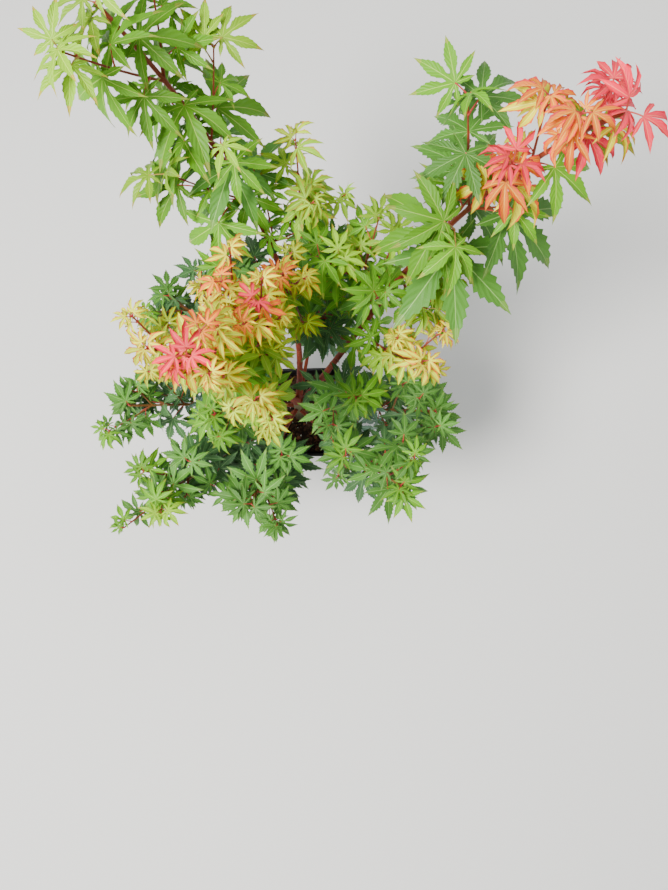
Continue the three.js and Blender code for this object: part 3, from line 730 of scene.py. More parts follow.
def addHalf(leaf, form, lobe, side, start, shares, vein, tip):
    # a lobe's blade and toothed edge on one side of its vein; gives the point of the middle tooth
    corner, notchAlong, notchAcross, room = start
    reach = lobe["reach"]

    def edgePoint(share, grow):
        along = mix(notchAlong, reach, share)
        across = min(halfWidth(form, share, notchAcross, reach) * grow, along * room)
        return leaf.addPoint(onLobe(lobe, along, side * across)), (along / reach, 1)

    valleys, peaks = [(corner, (notchAlong / reach, 1))], []
    for before, share in zip(shares, shares[1:]):
        peaks.append(edgePoint(mix(before, share, leafCut["peakAt"]), 1 + form["tooth"]))
        valleys.append(edgePoint(share, 1 - leafCut["valleyDepth"] * form["tooth"]))
    inner, margin = vein, leafCut["marginFrom"]
    leaf.addFace([leafCentre, valleys[0], vein[0]], bladeZone, side)
    if form["margin"]:
        inner = []
        for (rib, ribMap), (edge, edgeMap) in zip(vein, valleys):
            place = leaf.points[rib].lerp(leaf.points[edge], margin)
            inner.append((leaf.addPoint(place), (mix(ribMap[0], edgeMap[0], margin), margin)))
    for step in range(len(peaks)):
        if form["margin"]:
            leaf.addFace([vein[step], inner[step], inner[step + 1], vein[step + 1]], bladeZone, side)
        outer = form["margin"] or shares[step] > leafCut["tipZoneFrom"]
        leaf.addFace([inner[step], valleys[step], peaks[step], valleys[step + 1], inner[step + 1]],
                     edgeZone if outer else bladeZone, side)
    if form["margin"]:
        leaf.addFace([vein[-1], inner[-1], tip], bladeZone, side)
    leaf.addFace([inner[-1], valleys[-1], tip], edgeZone, side)
    return leaf.points[peaks[len(peaks) // 2][0]]


def makeLeafForm(form, variant):
    # the whole leaf, and its outline in a few points for the tests
    leaf = LeafMesh()
    lobes = lobeShapes(form, Seeded(form["seed"] * 100 + variant))
    notches = addNotches(leaf, form, lobes)
    shares = [leafCut["lastValley"] * step / (form["teeth"] - 1) for step in range(form["teeth"])]
    outline = [leaf.points[0]]
    for index, lobe in enumerate(lobes):
        tip = (leaf.addPoint(onLobe(lobe, lobe["reach"], 0)), (1, 0))
        sides = startSides(leaf, lobes, index, notches)
        veins = addVein(leaf, form, lobe, sides, shares, tip)
        peaks = {
            side: addHalf(leaf, form, lobe, side, start, shares, veins[side], tip)
            for side, start in sides.items()
        }
        outline += [leaf.points[sides[-1][0]], peaks[-1], leaf.points[tip[0]], peaks[1]]
    return leaf, outline + [leaf.points[sides[1][0]]]


def buildForms():
    # every leaf form in a collection outside the scene, and its coarse outline for the tests
    shelf = bpy.data.collections.new("leafForms")
    outlines, numbers = [], {}
    for kind, form in leafForms.items():
        for variant in range(form["variants"]):
            leaf, outline = makeLeafForm(form, variant)
            piece = addMesh(f"leafForm{len(outlines):02d}", leaf.points, leaf.faces,
                            values=[("zone", "INT", "FACE", leaf.zones)], shelf=shelf)
            flatMap = piece.data.uv_layers.new(name="leafUV")
            flatMap.data.foreach_set("uv", np.array(leaf.maps, np.float32).ravel())
            numbers.setdefault(kind, []).append(len(outlines))
            fan = [(0, step + 1, step) for step in range(1, len(outline) - 1)]
            outlines.append((np.array([tuple(point) for point in outline]), fan))
    return shelf, outlines, numbers


leafShelf, leafOutlines, leafNumbers = buildForms()
print("leaf forms made:", len(leafOutlines))

# The growth rule: opposite pairs of leaves, side sprigs at the first pairs and a tuft at the tip.
# Early sprigs are short and young, stand up from the stem and grow before its other leaves.

growth = dict(
    firstPairAt=0.3, pairCrowding=1.15, pairSwing=30, pairFlatten=0.6, pairRaise=0.35, pairRise=0.35,
    leafSize=(0.86, 0.26), ageCurve=1.3, ageSpread=1.2, spaceAround=9, centreSpace=1.05,
    tipLeafShare=0.8, tipLeafUneven=(1.05, 0.85), tipRise=0.55, leafTip=(6, 32), leafRoll=50,
    stalkShare=0.5, stalkAlong=0.55, stalkSwing=34, stalkReach=(0.75, 0.3), stalkRiseCut=0.5,
    sprigReach=(0.7, 0.35), sprigShare=1.25, sprigPairs=3, sprigTips=3, sprigCuts=(1, 0.72, 0.5),
    sprigSpace=4, sprigAlong=0.9, sprigLift=0.25, sprigSag=0.04, sprigPairAt=0.45,
    sprigLeafShares=(0.86, 0.68), youngerBy=1.0, youngest=0.5, stemPast=1.2,
    earlyReach=0.6, earlyLift=0.9, earlyLeaves=(26, 20), earlyTips=5, stalkTested=(0.35, 0.93),
)
leafTries = (  # the stalk's share, more degrees of tip and of swing, the leaf's share
    (1, 0, 0, 1), (0.75, 12, 12, 1), (1.25, -10, -12, 1), (0.9, 20, 26, 1), (1.1, 4, -28, 1),
    (0.6, -14, 18, 1), (1.4, 14, -6, 1), (0.7, 30, -20, 1), (1.2, -18, 34, 1), (1, 6, 8, 0.74),
    (1.3, -12, -22, 0.74), (0.8, 24, 30, 0.7), (1.1, 10, -40, 0.6),
)


def shapeLeaf(shoot, lie):
    # a leaf's place and turn, in one of the lies that are tried
    longer, tipMore, swingMore, larger = lie
    rise, draws = shoot["rise"], shoot["draws"]
    length = shoot["length"] * larger
    way = (shoot["outward"] + shoot["along"] * (growth["stalkAlong"] + rise)).normalized()
    swing = math.radians((draws[1] - 0.5) * growth["stalkSwing"] + swingMore)
    way = Matrix.Rotation(swing, 3, shoot["along"]) @ way
    least, extra = growth["stalkReach"]
    stalk = length * growth["stalkShare"] * (least + extra * draws[0])
    stalk *= (1 - growth["stalkRiseCut"] * rise) * longer
    forward = Vector((way.x, way.y, way.z * rise)).normalized()
    side = forward.cross(upward).normalized()
    least, extra = growth["leafTip"]
    tip = math.radians(least + extra * draws[2] + tipMore) * (1 - rise)
    forward = Matrix.Rotation(-tip, 3, side) @ forward
    side = Matrix.Rotation(math.radians((draws[3] - 0.5) * growth["leafRoll"]), 3, forward) @ side
    return dict(
        node=shoot["node"], way=way, stalk=stalk, length=length, centre=shoot["node"] + way * stalk,
        turn=Matrix((side, forward, side.cross(forward))).transposed(),
    )


def growShoot(path, plan):
    random = Seeded(plan["seed"])
    leaves, sprigs, nodes = [], [], []
    turn = 180 * random()

    def addLeaf(node, along, outward, length, age, share, rise):
        leaves.append(dict(
            node=node, along=along, outward=outward, length=length, age=age, share=share, rise=rise,
            draws=[random() for _ in range(5)],
        ))

    for pair in range(plan["pairs"]):
        share = 1 - (1 - (pair + plan["first"]) / plan["pairs"]) ** growth["pairCrowding"]
        node, along = pointAt(path, share), directionAt(path, share)
        nodes.append(share)
        level = along.cross(upward)
        level = level.normalized() if level.length > 0.05 else Vector((1, 0, 0))
        for half in (0, 180):
            angle = math.radians(turn + 90 * pair + half + growth["pairSwing"] * (random() - 0.5))
            outward = Matrix.Rotation(angle, 3, along) @ level
            outward.z = outward.z * growth["pairFlatten"] + growth["pairRaise"]
            outward.normalize()
            length = mix(*plan["leaves"], share) * random.spread(*growth["leafSize"])
            age = mix(*plan["ages"], share ** plan.get("ageCurve", growth["ageCurve"]))
            addLeaf(node, along, outward, length, age, share, growth["pairRise"] * share)
            reach = plan["sprigLength"] * random.spread(*growth["sprigReach"])
            if pair >= plan["sprigs"]:
                continue
            way = (outward + along * growth["sprigAlong"]).normalized()
            younger = max(0, age - growth["youngerBy"])
            sprig = dict(
                seed=plan["seed"] * 31 + pair * 2 + (1 if half else 0), pairs=growth["sprigPairs"],
                first=growth["sprigPairAt"], tips=growth["sprigTips"], sprigs=0, sprigLength=0,
                leaves=[length * part for part in growth["sprigLeafShares"]],
                ages=(age, max(younger, min(plan["ages"]) - growth["youngest"])),
            )
            early = pair in plan.get("early", {})
            if early:
                way = (way + upward * growth["earlyLift"]).normalized()
                reach *= growth["earlyReach"]
                sprig.update(
                    leaves=growth["earlyLeaves"], ages=plan["early"][pair], tips=growth["earlyTips"])
            sprigs.append(dict(node=node, way=way, reach=reach, plan=sprig, early=early))
    node, along = path[-1], directionAt(path, 1)
    for around in range(plan["tips"]):
        angle = math.radians(turn + 360 * around / plan["tips"] + growth["pairSwing"] * (random() - 0.5))
        outward = radial(angle)
        outward = (outward - along * outward.dot(along)).normalized()
        length = plan["leaves"][1] * growth["tipLeafShare"] * growth["tipLeafUneven"][around % 2]
        addLeaf(node, along, outward, length, plan["ages"][1], 1, growth["tipRise"])
    return leaves, sprigs, nodes


def formFor(age, length, draw):
    kind = next(kind for kind, form in leafForms.items() if age < form["until"])
    if kind == "fold" and length > leafCut["foldUpTo"]:
        kind = "open"
    numbers = leafNumbers[kind]
    return numbers[min(int(draw * len(numbers)), len(numbers) - 1)]


def ribbon(start, end, half=0.4):
    # a narrow strip that stands for a stalk or a twig in the tests
    side = (end - start).cross(upward)
    side = side.normalized() * half if side.length > 0.001 else Vector((half, 0, 0))
    return [start + side, start - side, end - side, end + side]


crown = []  # what a new leaf or twig must not cross: each thing's tree, middle and reach


def crosses(tree, centre, reach):
    return any(
        (centre - middle).length < reach + around and tree.overlap(other) for other, middle, around in crown
    )


def addStretch(path, radius, firstShare=0.0, count=12):
    # limbs and stems, as short flat and lifted strips
    for step in range(count):
        start, end = (pointAt(path, mix(firstShare, 1, (step + more) / count)) for more in (0, 1))
        lifted = [point + upward * radius for point in ribbon(start, end, 0.1)]
        strips = BVHTree.FromPolygons(ribbon(start, end, radius) + lifted, [(0, 1, 2, 3), (4, 5, 6, 7)])
        crown.append((strips, (start + end) / 2, (end - start).length / 2 + radius))


for limb in limbs.values():
    addStretch(limb["path"], limb["radius"][0])
for spray in sprays.values():
    if "at" in spray:
        addStretch(spray["path"], spray["radius"][0], firstShare=0.06)


def leafTest(leaf, number):
    # the leaf's coarse outline and its stalk as one small tree
    outline, fan = leafOutlines[number]
    spun = np.array(leaf["turn"]) @ (outline.T * leaf["length"])
    points = [Vector(column) + leaf["centre"] for column in spun.T]
    first = len(points)
    points += ribbon(*(leaf["node"].lerp(leaf["centre"], share) for share in growth["stalkTested"]))
    return BVHTree.FromPolygons(points, fan + [tuple(range(first, first + 4))]), points[:first]


def sprigPath(sprig, cut):
    # a side twig that sags a little and then lifts its tip
    reach = sprig["reach"] * cut
    tip = sprig["node"] + sprig["way"] * reach
    tip.z += reach * growth["sprigLift"]
    middle = sprig["node"].lerp(tip, 0.5)
    middle.z -= reach * growth["sprigSag"]
    return [sprig["node"], middle, tip]


def growSpray(name, plan):
    low, high = (Vector(corner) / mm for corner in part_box(name))
    random = Seeded(plan["seed"] + 7)
    grown, twigs = [], []

    def inReach(points, space):
        return all(
            low[axis] - space <= point[axis] <= high[axis] + space for point in points for axis in range(3)
        )

    def addLeaves(shoots, drift):
        # gives how far along its stem the last leaf stands, or nothing
        last = None
        for shoot in sorted(shoots, key=lambda one: -one["node"].z):
            age = min(max(shoot["age"] + drift, 0), len(leafTints) - 1)
            number = formFor(age, shoot["length"], shoot["draws"][4])
            for lie in leafTries:
                leaf = shapeLeaf(shoot, lie)
                tree, outline = leafTest(leaf, number)
                fits = inReach(outline, growth["spaceAround"])
                if fits and not crosses(tree, leaf["centre"], leaf["length"]):
                    crown.append((tree, leaf["centre"], leaf["length"] * growth["centreSpace"]))
                    grown.append(dict(leaf, form=number, age=age))
                    last = max(last or 0, shoot["share"])
                    break
        return last

    def addSprig(sprig):
        for cut in growth["sprigCuts"]:
            path = sprigPath(sprig, cut)
            tree = BVHTree.FromPolygons(ribbon(path[0].lerp(path[1], 0.5), path[2]), [(0, 1, 2, 3)])
            reach = (path[2] - path[0]).length / 2
            if not inReach([path[2]], growth["sprigSpace"]) or crosses(tree, path[1], reach):
                continue
            crown.append((tree, path[1], reach))
            leaves, _, nodes = growShoot(path, sprig["plan"])
            last = addLeaves(leaves, growth["ageSpread"] * (random() - 0.5))
            if last is not None:
                twigs.append((path, nodes, sprig["plan"]["ages"][0], last))
                return
            crown.pop()

    sprigLength = plan["leaves"][0] * plan.get("sprigShare", growth["sprigShare"])
    main = dict(plan, first=growth["firstPairAt"], sprigLength=sprigLength)
    leaves, sprigs, plan["nodes"] = growShoot(plan["path"], main)
    sprigs.sort(key=lambda sprig: not sprig["early"])
    count = sum(sprig["early"] for sprig in sprigs)
    for sprig in sprigs[:count]:
        addSprig(sprig)
    plan["last"] = addLeaves(leaves, 0) or 1
    for sprig in sprigs[count:]:
        addSprig(sprig)
    return grown, twigs


# Strands: runs of points with a radius at each and a kind, skinned together

stemShape = dict(every=1.6, leastSteps=6, swell=0.28, swellReach=1.5, scarEvery=24)
trunkFoot = dict(flare=2.6, height=5.0, sunk=1.6, wider=1.1)
limbFoot = dict(flare=0.45, height=4.0, past=1.5)  # the flare is a share of the limb's own radius
twigShape = dict(
    radius=(0.8, 0.5), bendSteps=8, sides=6, relief=0.00008, reliefScale=900.0,
    oldFrom=7.5,  # the age from which a stem is green, not red
    yellowStalks=(3, 5.6),
)
stalkShape = dict(
    most=0.62, least=0.26, grow=0.0085, arch=0.07, thickness=(1.45, 1.0, 0.86, 0.82, 0.85, 0.95),
)
budShape = dict(most=2.6, least=0.9, grow=0.03, lift=0.8, out=0.7, radii=(0.5, 0.62, 0.12))


def stemStrand(path, girths, nodes, length, last=1.0, flare=0, flareHeight=1):
    # points along a stem that swells at its nodes and flares at its foot
    steps = max(stemShape["leastSteps"], round(last * length / stemShape["every"]))
    points, radii = [], []
    for step in range(steps + 1):
        share = mix(0.0, last, step / steps)
        radius = mix(*girths, share)
        for node in nodes:
            away = (share - node) * length / stemShape["swellReach"]
            radius += girths[1] * stemShape["swell"] * math.exp(-away * away)
        points.append(pointAt(path, share))
        radii.append(radius + flare * math.exp(-share * length / flareHeight))
    return points, radii


def smoothPath(path, steps):
    # a bend through three points
    start, middle, end = path
    control = middle * 2 - (start + end) / 2
    points = []
    for step in range(steps + 1):
        share, left = step / steps, 1 - step / steps
        points.append(start * left ** 2 + control * 2 * share * left + end * share * share)
    return points


def stalkStrand(leaf, kind):
    thick = min(stalkShape["most"], stalkShape["least"] + leaf["length"] * stalkShape["grow"])
    middle = leaf["node"].lerp(leaf["centre"], 0.5) + upward * leaf["stalk"] * stalkShape["arch"]
    radii = [thick * part for part in stalkShape["thickness"]]
    return smoothPath([leaf["node"], middle, leaf["centre"]], len(radii) - 1), radii, kind


def budStrand(leaf, kind):
    # the small bud in the leaf's axil
    long = min(budShape["most"], budShape["least"] + leaf["length"] * budShape["grow"])
    way = (leaf["way"] + upward * budShape["lift"]).normalized()
    base = leaf["node"] + leaf["way"] * budShape["out"]
    return [base, base + way * long * 0.5, base + way * long], budShape["radii"], kind


skinTree = makeSkinTree()
sprayTree = makeSprayTree()
toppingTree = makeToppingTree()
leafMaterials = makeLeafMaterials()
twigMaterials = [cloudyMaterial(name, colour, **twigFinish) for name, colour in twigColours.items()]
redShoot, greenShoot, redStalk, greenStalk, axilBud = range(len(twigColours))


def skinStrands(name, strands, sides, relief, reliefScale, materials):
    points, edges, girths, kinds = [], [], [], []
    for path, radii, kind in strands:
        first = len(points)
        points += [point * mm for point in path]
        girths += [radius * mm for radius in radii]
        kinds += [kind] * len(path)
        edges += [(first + step, first + step + 1) for step in range(len(path) - 1)]
    piece = addMesh(name, points, edges=edges, smooth=False, values=[
        ("girth", "FLOAT", "POINT", girths), ("kind", "INT", "POINT", kinds),
    ])
    mesh = runTree(piece, skinTree, {
        "Sides": sides, "Relief": relief, "Relief Scale": reliefScale, "Material": materials[0],
    })
    dealMaterials(mesh, faceValues(mesh, "kind"), materials)
    mesh.shade_smooth()
    return piece


def makeLeaves(title, leaves, plan):
    random = Seeded(plan["seed"] + 3)
    shades = leafFinish["shades"]
    tints = [int(leaf["age"] + 0.5) * shades + int(random() * shades) for leaf in leaves]
    turns = [angle for leaf in leaves for angle in leaf["turn"].to_euler()]
    piece = addMesh("leaves_" + title, [leaf["centre"] * mm for leaf in leaves], smooth=False, values=[
        ("turn", "FLOAT_VECTOR", "POINT", turns), ("tint", "INT", "POINT", tints),
        ("size", "FLOAT", "POINT", [leaf["length"] * mm for leaf in leaves]),
        ("form", "INT", "POINT", [leaf["form"] for leaf in leaves]),
    ])
    mesh = runTree(piece, sprayTree, {"Forms": leafShelf, "Material": leafMaterials[0]})
    dealMaterials(mesh, faceValues(mesh, "tint") * 3 + faceValues(mesh, "zone"), leafMaterials)
    return piece


def makeTwigs(title, leaves, twigs, plan):
    def stem(path, girths, nodes, length, lastLeaf, age):
        last = min(1, lastLeaf + growth["stemPast"] / length)
        kind = greenShoot if age > twigShape["oldFrom"] else redShoot
        return (*stemStrand(path, girths, nodes, length, last), kind)

    own = [plan[key] for key in ("path", "radius", "nodes", "length", "last")]
    strands = [stem(*own, plan["ages"][0])]
    for twig, nodes, age, lastLeaf in twigs:
        path = smoothPath(twig, twigShape["bendSteps"])
        strands.append(stem(path, twigShape["radius"], nodes, (twig[2] - twig[0]).length, lastLeaf, age))
    youngest, oldest = twigShape["yellowStalks"]
    for leaf in leaves:
        strands.append(stalkStrand(leaf, greenStalk if youngest < leaf["age"] < oldest else redStalk))
        strands.append(budStrand(leaf, axilBud))
    finish = [twigShape[key] for key in ("sides", "relief", "reliefScale")]
    return skinStrands("twigs_" + title, strands, *finish, twigMaterials)


leafCount = faceCount = 0
for title, plan in sprays.items():
    node = "foliage_" + title
    leaves, twigs = growSpray(node, plan)
    blades = makeLeaves(title, leaves, plan)
    for piece in (blades, makeTwigs(title, leaves, twigs, plan)):
        ridePiece(piece, plan["slot"], node)
    leafCount += len(leaves)
    faceCount += len(blades.data.polygons)
emptyShelf(leafShelf)
print("foliage made: leaves", leafCount, "faces", faceCount)


def makeLimb(name, plan, bark):
    nodes = [step * stemShape["scarEvery"] / plan["length"] for step in range(1, 30)]
    nodes = [node for node in nodes if node < 1 and name != "trunk"]
    flare, height = plan["radius"][0] * limbFoot["flare"], limbFoot["height"]
    if name == "trunk":
        flare, height = trunkFoot["flare"], trunkFoot["height"]
    last = min(1, plan["bare"] + limbFoot["past"] / plan["length"])
    path, radii = stemStrand(plan["path"], plan["radius"], nodes, plan["length"], last, flare, height)
    if name == "trunk":
        path.insert(0, path[0] - upward * trunkFoot["sunk"])
        radii.insert(0, radii[0] * trunkFoot["wider"])
    look = barks[bark]
    return skinStrands(name + "_bark", [(path, radii, 0)], look["sides"], look["relief"],
                       look["reliefScale"], [barkMaterials[bark]])


barkMaterials = {name: barkMaterial(name) for name in barks}
for name, plan in limbs.items():
    bark = "trunkBark" if name == "trunk" else "redBark"
    ridePiece(makeLimb(name, plan, bark), barks[bark]["slot"], name)
print("trunk and limbs made:", len(limbs))

# Pot: a tapered square shell with round corners and a rolled rim band

pot = dict(
    height=88, rimWidth=89, footWidth=66, rimCorner=11, footCorner=8, wall=1.6, band=6, proud=1.3,
    bevel=1.2, bow=0.7, cornerSteps=9, sideSteps=8, holeRadius=4.5, holeOffset=21, holeSteps=28,
    lip=0.48, sharpFrom=38,
)
potFinish = dict(  # thin black plastic with a dusty bloom
    colour="17181b", specular=0.5, cloud=(38, 6), gloss=(0.34, 0.6), relief=(900, 2), bump=(0.25, 0.0002),
    tones=[(0.35, "0c0d0f"), (0.55, "131417"), (0.78, "25272a")],
)


def squareRing(height, outward):
    # a level ring of the pot's wall, moved out from its face
    rise = height / pot["height"]
    half = mix(pot["footWidth"], pot["rimWidth"] - 2 * pot["proud"], rise) / 2 + outward
    corner = max(1.0, mix(pot["footCorner"], pot["rimCorner"], rise) + outward)
    bow = pot["bow"] * math.sin(math.pi * min(rise * 1.05, 1))

    def cornerCentre(quarter):
        middle = radial(math.radians(45 + 90 * quarter))
        return Vector((*(math.copysign(half - corner, part) for part in middle.xy), height))

    ring = []
    for quarter in range(4):
        centre, nextCentre = cornerCentre(quarter), cornerCentre(quarter + 1)
        for step in range(pot["cornerSteps"] + 1):
            ring.append(centre + radial(math.radians(90 * (quarter + step / pot["cornerSteps"]))) * corner)
        for step in range(1, pot["sideSteps"]):
            along = step / pot["sideSteps"]
            out = corner - bow * math.sin(math.pi * along) ** 2
            ring.append(centre.lerp(nextCentre, along) + radial(math.radians(90 * (quarter + 1))) * out)
    return ring


def ringFaces(count, rings, capped=True):
    faces = []
    for ring in range(rings - 1):
        for step in range(count):
            after = (step + 1) % count
            faces.append([ring * count + step, ring * count + after,
                          (ring + 1) * count + after, (ring + 1) * count + step])
    if capped:
        faces += [list(range(count))[::-1], list(range((rings - 1) * count, rings * count))]
    return faces


def makePot():
    wall, proud, bevel, top, lip = (pot[key] for key in ("wall", "proud", "bevel", "height", "lip"))
    bandFoot = top - pot["band"]
    profile = [  # heights and places out from the wall's face: outside, rim band, lip and inside
        (0, -bevel), (bevel * 0.3, -bevel * 0.3), (bevel, 0), (top * 0.25, 0), (top * 0.5, 0),
        (top * 0.75, 0), (bandFoot - 0.4, 0), (bandFoot, 0.1), (bandFoot + proud * 0.5, proud * 0.75),
        (bandFoot + proud, proud), (top - lip * 2, proud), (top - lip * 0.8, proud * 0.85),
        (top - lip * 0.2, proud * 0.55), (top, proud * 0.1), (top, -wall * 0.35),
        (top - lip * 0.5, -wall * 0.75), (top - lip * 2, -wall), (top * 0.75, -wall),
        (top * 0.5, -wall), (top * 0.25, -wall), (wall + bevel, -wall), (wall, -wall - bevel),
    ]
    rings = [squareRing(height, outward) for height, outward in profile]
    points = [point * mm for ring in rings for point in ring]
    piece = addMesh("pot_shell", points, ringFaces(len(rings[0]), len(rings)))
    for x, y in ((1, 1), (-1, 1), (-1, -1), (1, -1)):
        drill = makeDrill(x * pot["holeOffset"], y * pot["holeOffset"])
        cut = piece.modifiers.new("drain", "BOOLEAN")
        cut.object = drill
        cut.operation = "DIFFERENCE"
        cut.solver = "EXACT"
        makePlain(piece)
        bpy.data.objects.remove(drill)
    piece.data.materials.clear()
    piece.data.materials.append(cloudyMaterial("blackPlastic", **potFinish))
    piece.data.set_sharp_from_angle(angle=math.radians(pot["sharpFrom"]))
    ridePiece(piece, "pot_plastic", "pot")


def makeDrill(x, y):
    steps = pot["holeSteps"]
    ring = [radial(2 * math.pi * step / steps) * pot["holeRadius"] for step in range(steps)]
    points = [(Vector((x, y, height)) + out) * mm for height in (-2, pot["wall"] + 2) for out in ring]
    return addMesh("drill", points, ringFaces(steps, 2), smooth=False)


makePot()
print("pot made")

# Potting mix: a filled block with a rough top, chips of bark and grains of perlite

soilShape = dict(
    relief=1.5, rings=26, grain=0.11, mound=1.2, moundReach=14, clear=0.35, sunk=0.9,
    roughness=((2, 3, 0.5), (5, 9, 0.35)),  # scale, place and height of each noise
)
soilFinish = dict(
    colour="2b211b", specular=0.2, cloud=(420, 8), gloss=(0.75, 0.98), bump=(0.9, 0.002),
    tones=[(0.3, "120d0a"), (0.5, "2b1f17"), (0.66, "3f2c20"), (0.85, "5b4632")],
)
toppings = {
    "bark_chips_dark": dict(
        colour="4a3122", spacing=2.6, density=90000.0, seed=4, sizes=(0.0022, 0.0052), flat=0.32, grain=700,
    ),
    "bark_chips_red": dict(
        colour="7a4a30", spacing=4.2, density=30000.0, seed=9, sizes=(0.0016, 0.0042), flat=0.35, grain=700,
    ),
    "perlite_grains": dict(
        colour="e4e1d8", spacing=6.5, density=12000.0, seed=21, sizes=(0.0007, 0.0017), flat=0.8, grain=1400,
    ),
}
grainShape = dict(variants=3, rows=4, around=6, long=1.4, reach=(0.75, 0.5))
grainFinish = dict(specular=0.25, gloss=(0.6, 0.92), bump=(0.7, 0.0006))


def onSoil(x, y):
    away = math.hypot(x, y) / soilShape["moundReach"]
    rough = 0
    for scale, place, height in soilShape["roughness"]:
        rough += noise.noise(Vector((x, y, place)) * soilShape["grain"] * scale) * height
    mound = soilShape["mound"] * math.exp(-away * away)
    return Vector((x, y, soilTop - soilShape["sunk"] + soilShape["relief"] * rough + mound))


def makeSoil():
    clear = pot["wall"] + soilShape["clear"]
    edge = squareRing(soilTop - 1, -clear)
    sides = [squareRing(clear, -clear - pot["bevel"]), squareRing(clear + pot["bevel"], -clear),
             squareRing(soilTop * 0.5, -clear)]
    shares = [1 - step / soilShape["rings"] for step in range(soilShape["rings"])]
    tops = [[onSoil(point.x * share, point.y * share) for point in edge] for share in shares]
    rings, count = sides + tops, len(edge)
    points = [point * mm for ring in rings for point in ring] + [onSoil(0, 0) * mm]
    last = (len(rings) - 1) * count
    faces = ringFaces(count, len(rings), capped=False) + [list(range(count))[::-1]]
    faces += [[last + step, last + (step + 1) % count, len(points) - 1] for step in range(count)]
    piece = addMesh("potting_mix", points, faces)
    piece.data.materials.append(cloudyMaterial("pottingMix", **soilFinish))
    ridePiece(piece, "bark_mix", "soil")
    return [point * mm for ring in tops[1:] for point in ring], ringFaces(count, len(tops) - 1, False)


def grainForms(name, plan):
    # rough lumps, flattened for chips
    shelf = bpy.data.collections.new(name)
    rows, around = grainShape["rows"], grainShape["around"]
    faces = [face[::-1] for face in ringFaces(around, rows)]
    for variant in range(grainShape["variants"]):
        random = Seeded(plan["seed"] + variant)
        points = []
        for row in range(rows):
            tilt = math.pi * (row + 0.5) / rows
            for step in range(around):
                angle = 2 * math.pi * step / around
                reach = 0.5 * random.spread(*grainShape["reach"])
                points.append((
                    reach * math.sin(tilt) * math.cos(angle) * grainShape["long"],
                    reach * math.sin(tilt) * math.sin(angle), reach * math.cos(tilt) * plan["flat"],
                ))
        addMesh(f"{name}{variant}", points, faces, shelf=shelf, smooth=False)
    return shelf


topPoints, topFaces = makeSoil()
for name, plan in toppings.items():
    shelf = grainForms(name + "_form", plan)
    piece = addMesh(name, topPoints, topFaces)
    title = name.title().replace("_", "")
    material = cloudyMaterial(title, plan["colour"], cloud=(plan["grain"], 5), **grainFinish)
    runTree(piece, toppingTree, {
        "Forms": shelf, "Spacing": plan["spacing"] * mm, "Density": plan["density"], "Seed": plan["seed"],
        "Smallest": plan["sizes"][0], "Largest": plan["sizes"][1], "Material": material,
    })
    ridePiece(piece, "bark_mix")
    emptyShelf(shelf)
    print(name, "made:", len(piece.data.polygons))

# Label: a blank strip with a pointed foot and round upper corners

label = dict(
    width=12, thick=0.7, length=68, point=9, at=(31.5, -33.5), buried=24, bearing=-48, lean=22, round=2.2,
    curl=0.275, cup=0.35, rows=26, leastWidth=0.04, across=(-1, -0.6, 0, 0.6, 1), sharpFrom=40,
)
labelFinish = dict(
    colour="eceaee", specular=0.4, cloud=(60, 4), gloss=(0.35, 0.55),
    tones=[(0.35, "dcd8dc"), (0.6, "f0eef2")],
)


def makeLabel():
    rise = heading(label["bearing"], label["lean"])
    side = heading(label["bearing"] + 90, 90)
    face = side.cross(rise)
    foot = Vector((*label["at"], soilTop)) - rise * label["buried"]
    ring = [(1, share) for share in label["across"]] + [(-1, share) for share in label["across"][::-1]]
    points = []
    for row in range(label["rows"] + 1):
        along = label["length"] * row / label["rows"]
        half = label["width"] / 2 * min(1, label["leastWidth"] + along / label["point"])
        over = max(0, along - (label["length"] - label["round"])) / label["round"]
        half -= label["round"] * (1 - math.sqrt(max(0, 1 - over * over)))
        bowed = label["curl"] * math.sin(math.pi * along / label["length"])
        for depth, share in ring:
            out = depth * label["thick"] / 2 - label["cup"] * (1 - share * share) + bowed
            points.append((foot + side * half * share + rise * along + face * out) * mm)
    piece = addMesh("plant_label", points, ringFaces(len(ring), label["rows"] + 1))
    piece.data.set_sharp_from_angle(angle=math.radians(label["sharpFrom"]))
    piece.data.materials.append(cloudyMaterial("whiteLabel", **labelFinish))
    ridePiece(piece, "label_plastic", "label")


makeLabel()
print("soil, toppings and label made")

# Floor, light and camera

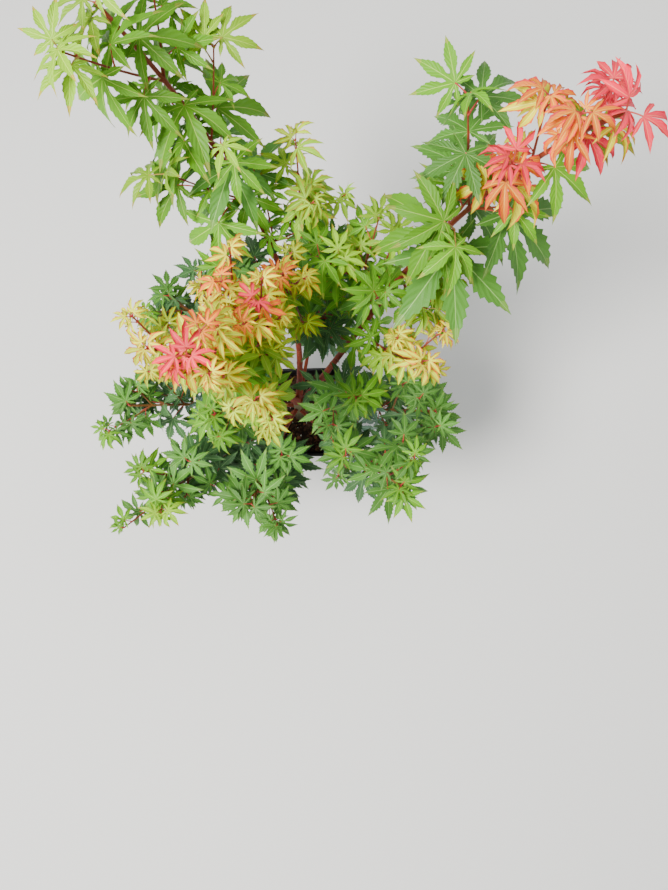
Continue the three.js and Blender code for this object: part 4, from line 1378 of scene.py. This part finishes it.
studio = dict(
    floor="ebebe8", floorReach=30.0, world=(0.96, 0.97, 0.985), worldStrength=0.46,
    skylight=0.28, skySpread=80, lampsAimAt=(0, 0, 0.25),
    lamps=(
        dict(place=(-0.7, -0.45, 1.8), size=0.8, energy=66, color=(1.0, 0.98, 0.95)),
        dict(place=(1.3, 0.9, 1.5), size=1.8, energy=13, color=(0.94, 0.97, 1.0)),
    ),
)
# the camera looks almost straight down on the plant
view = dict(place=(98.8, -87.7, 736.4), lookAt=(25.4, -26.0, 0), lens=26.7, sensor=36, near=0.01)


def makeFloor():
    corners = ((-1, -1, 0), (1, -1, 0), (1, 1, 0), (-1, 1, 0))
    points = [Vector(corner) * studio["floorReach"] for corner in corners]
    floor = addMesh("floor", points, [[0, 1, 2, 3]], smooth=False)
    floor.data.materials.append(newMaterial("paleFloor", studio["floor"], specular=0.1, roughness=0.9)[0])


def makeAir():
    world = bpy.data.worlds.new("studioAir")
    world.use_nodes = True
    air = world.node_tree.nodes["Background"].inputs
    air["Color"].default_value = (*studio["world"], 1)
    air["Strength"].default_value = studio["worldStrength"]
    bpy.context.scene.world = world


def makeLights():
    for number, plan in enumerate(studio["lamps"]):
        lamp = bpy.data.lights.new(f"softbox{number}", "AREA")
        lamp.shape = "DISK"
        for key in ("size", "energy", "color"):
            setattr(lamp, key, plan[key])
        holder = addObject(lamp.name, lamp)
        holder.location = plan["place"]
        aim = Vector(studio["lampsAimAt"]) - Vector(plan["place"])
        holder.rotation_euler = aim.to_track_quat("-Z", "Y").to_euler()
    # a wide light from straight above, which keeps the far floor as pale as the air behind it
    sky = bpy.data.lights.new("skylight", "SUN")
    sky.energy = studio["skylight"]
    sky.angle = math.radians(studio["skySpread"])
    addObject("skylight", sky)


def makeCamera():
    place, target = (Vector(view[key]) * mm for key in ("place", "lookAt"))
    ahead = (target - place).normalized()
    right = ahead.cross(Vector((0, 1, 0))).normalized()
    turned = Matrix((right, right.cross(ahead), -ahead)).transposed()
    lens = bpy.data.cameras.new("camera")
    lens.lens = view["lens"]
    lens.sensor_width = view["sensor"]
    lens.clip_start = view["near"]
    camera = addObject("camera", lens)
    camera.matrix_world = Matrix.Translation(place) @ turned.to_4x4()
    bpy.context.scene.camera = camera


makeFloor()
makeAir()
makeLights()
makeCamera()

bpy.context.view_layer.update()
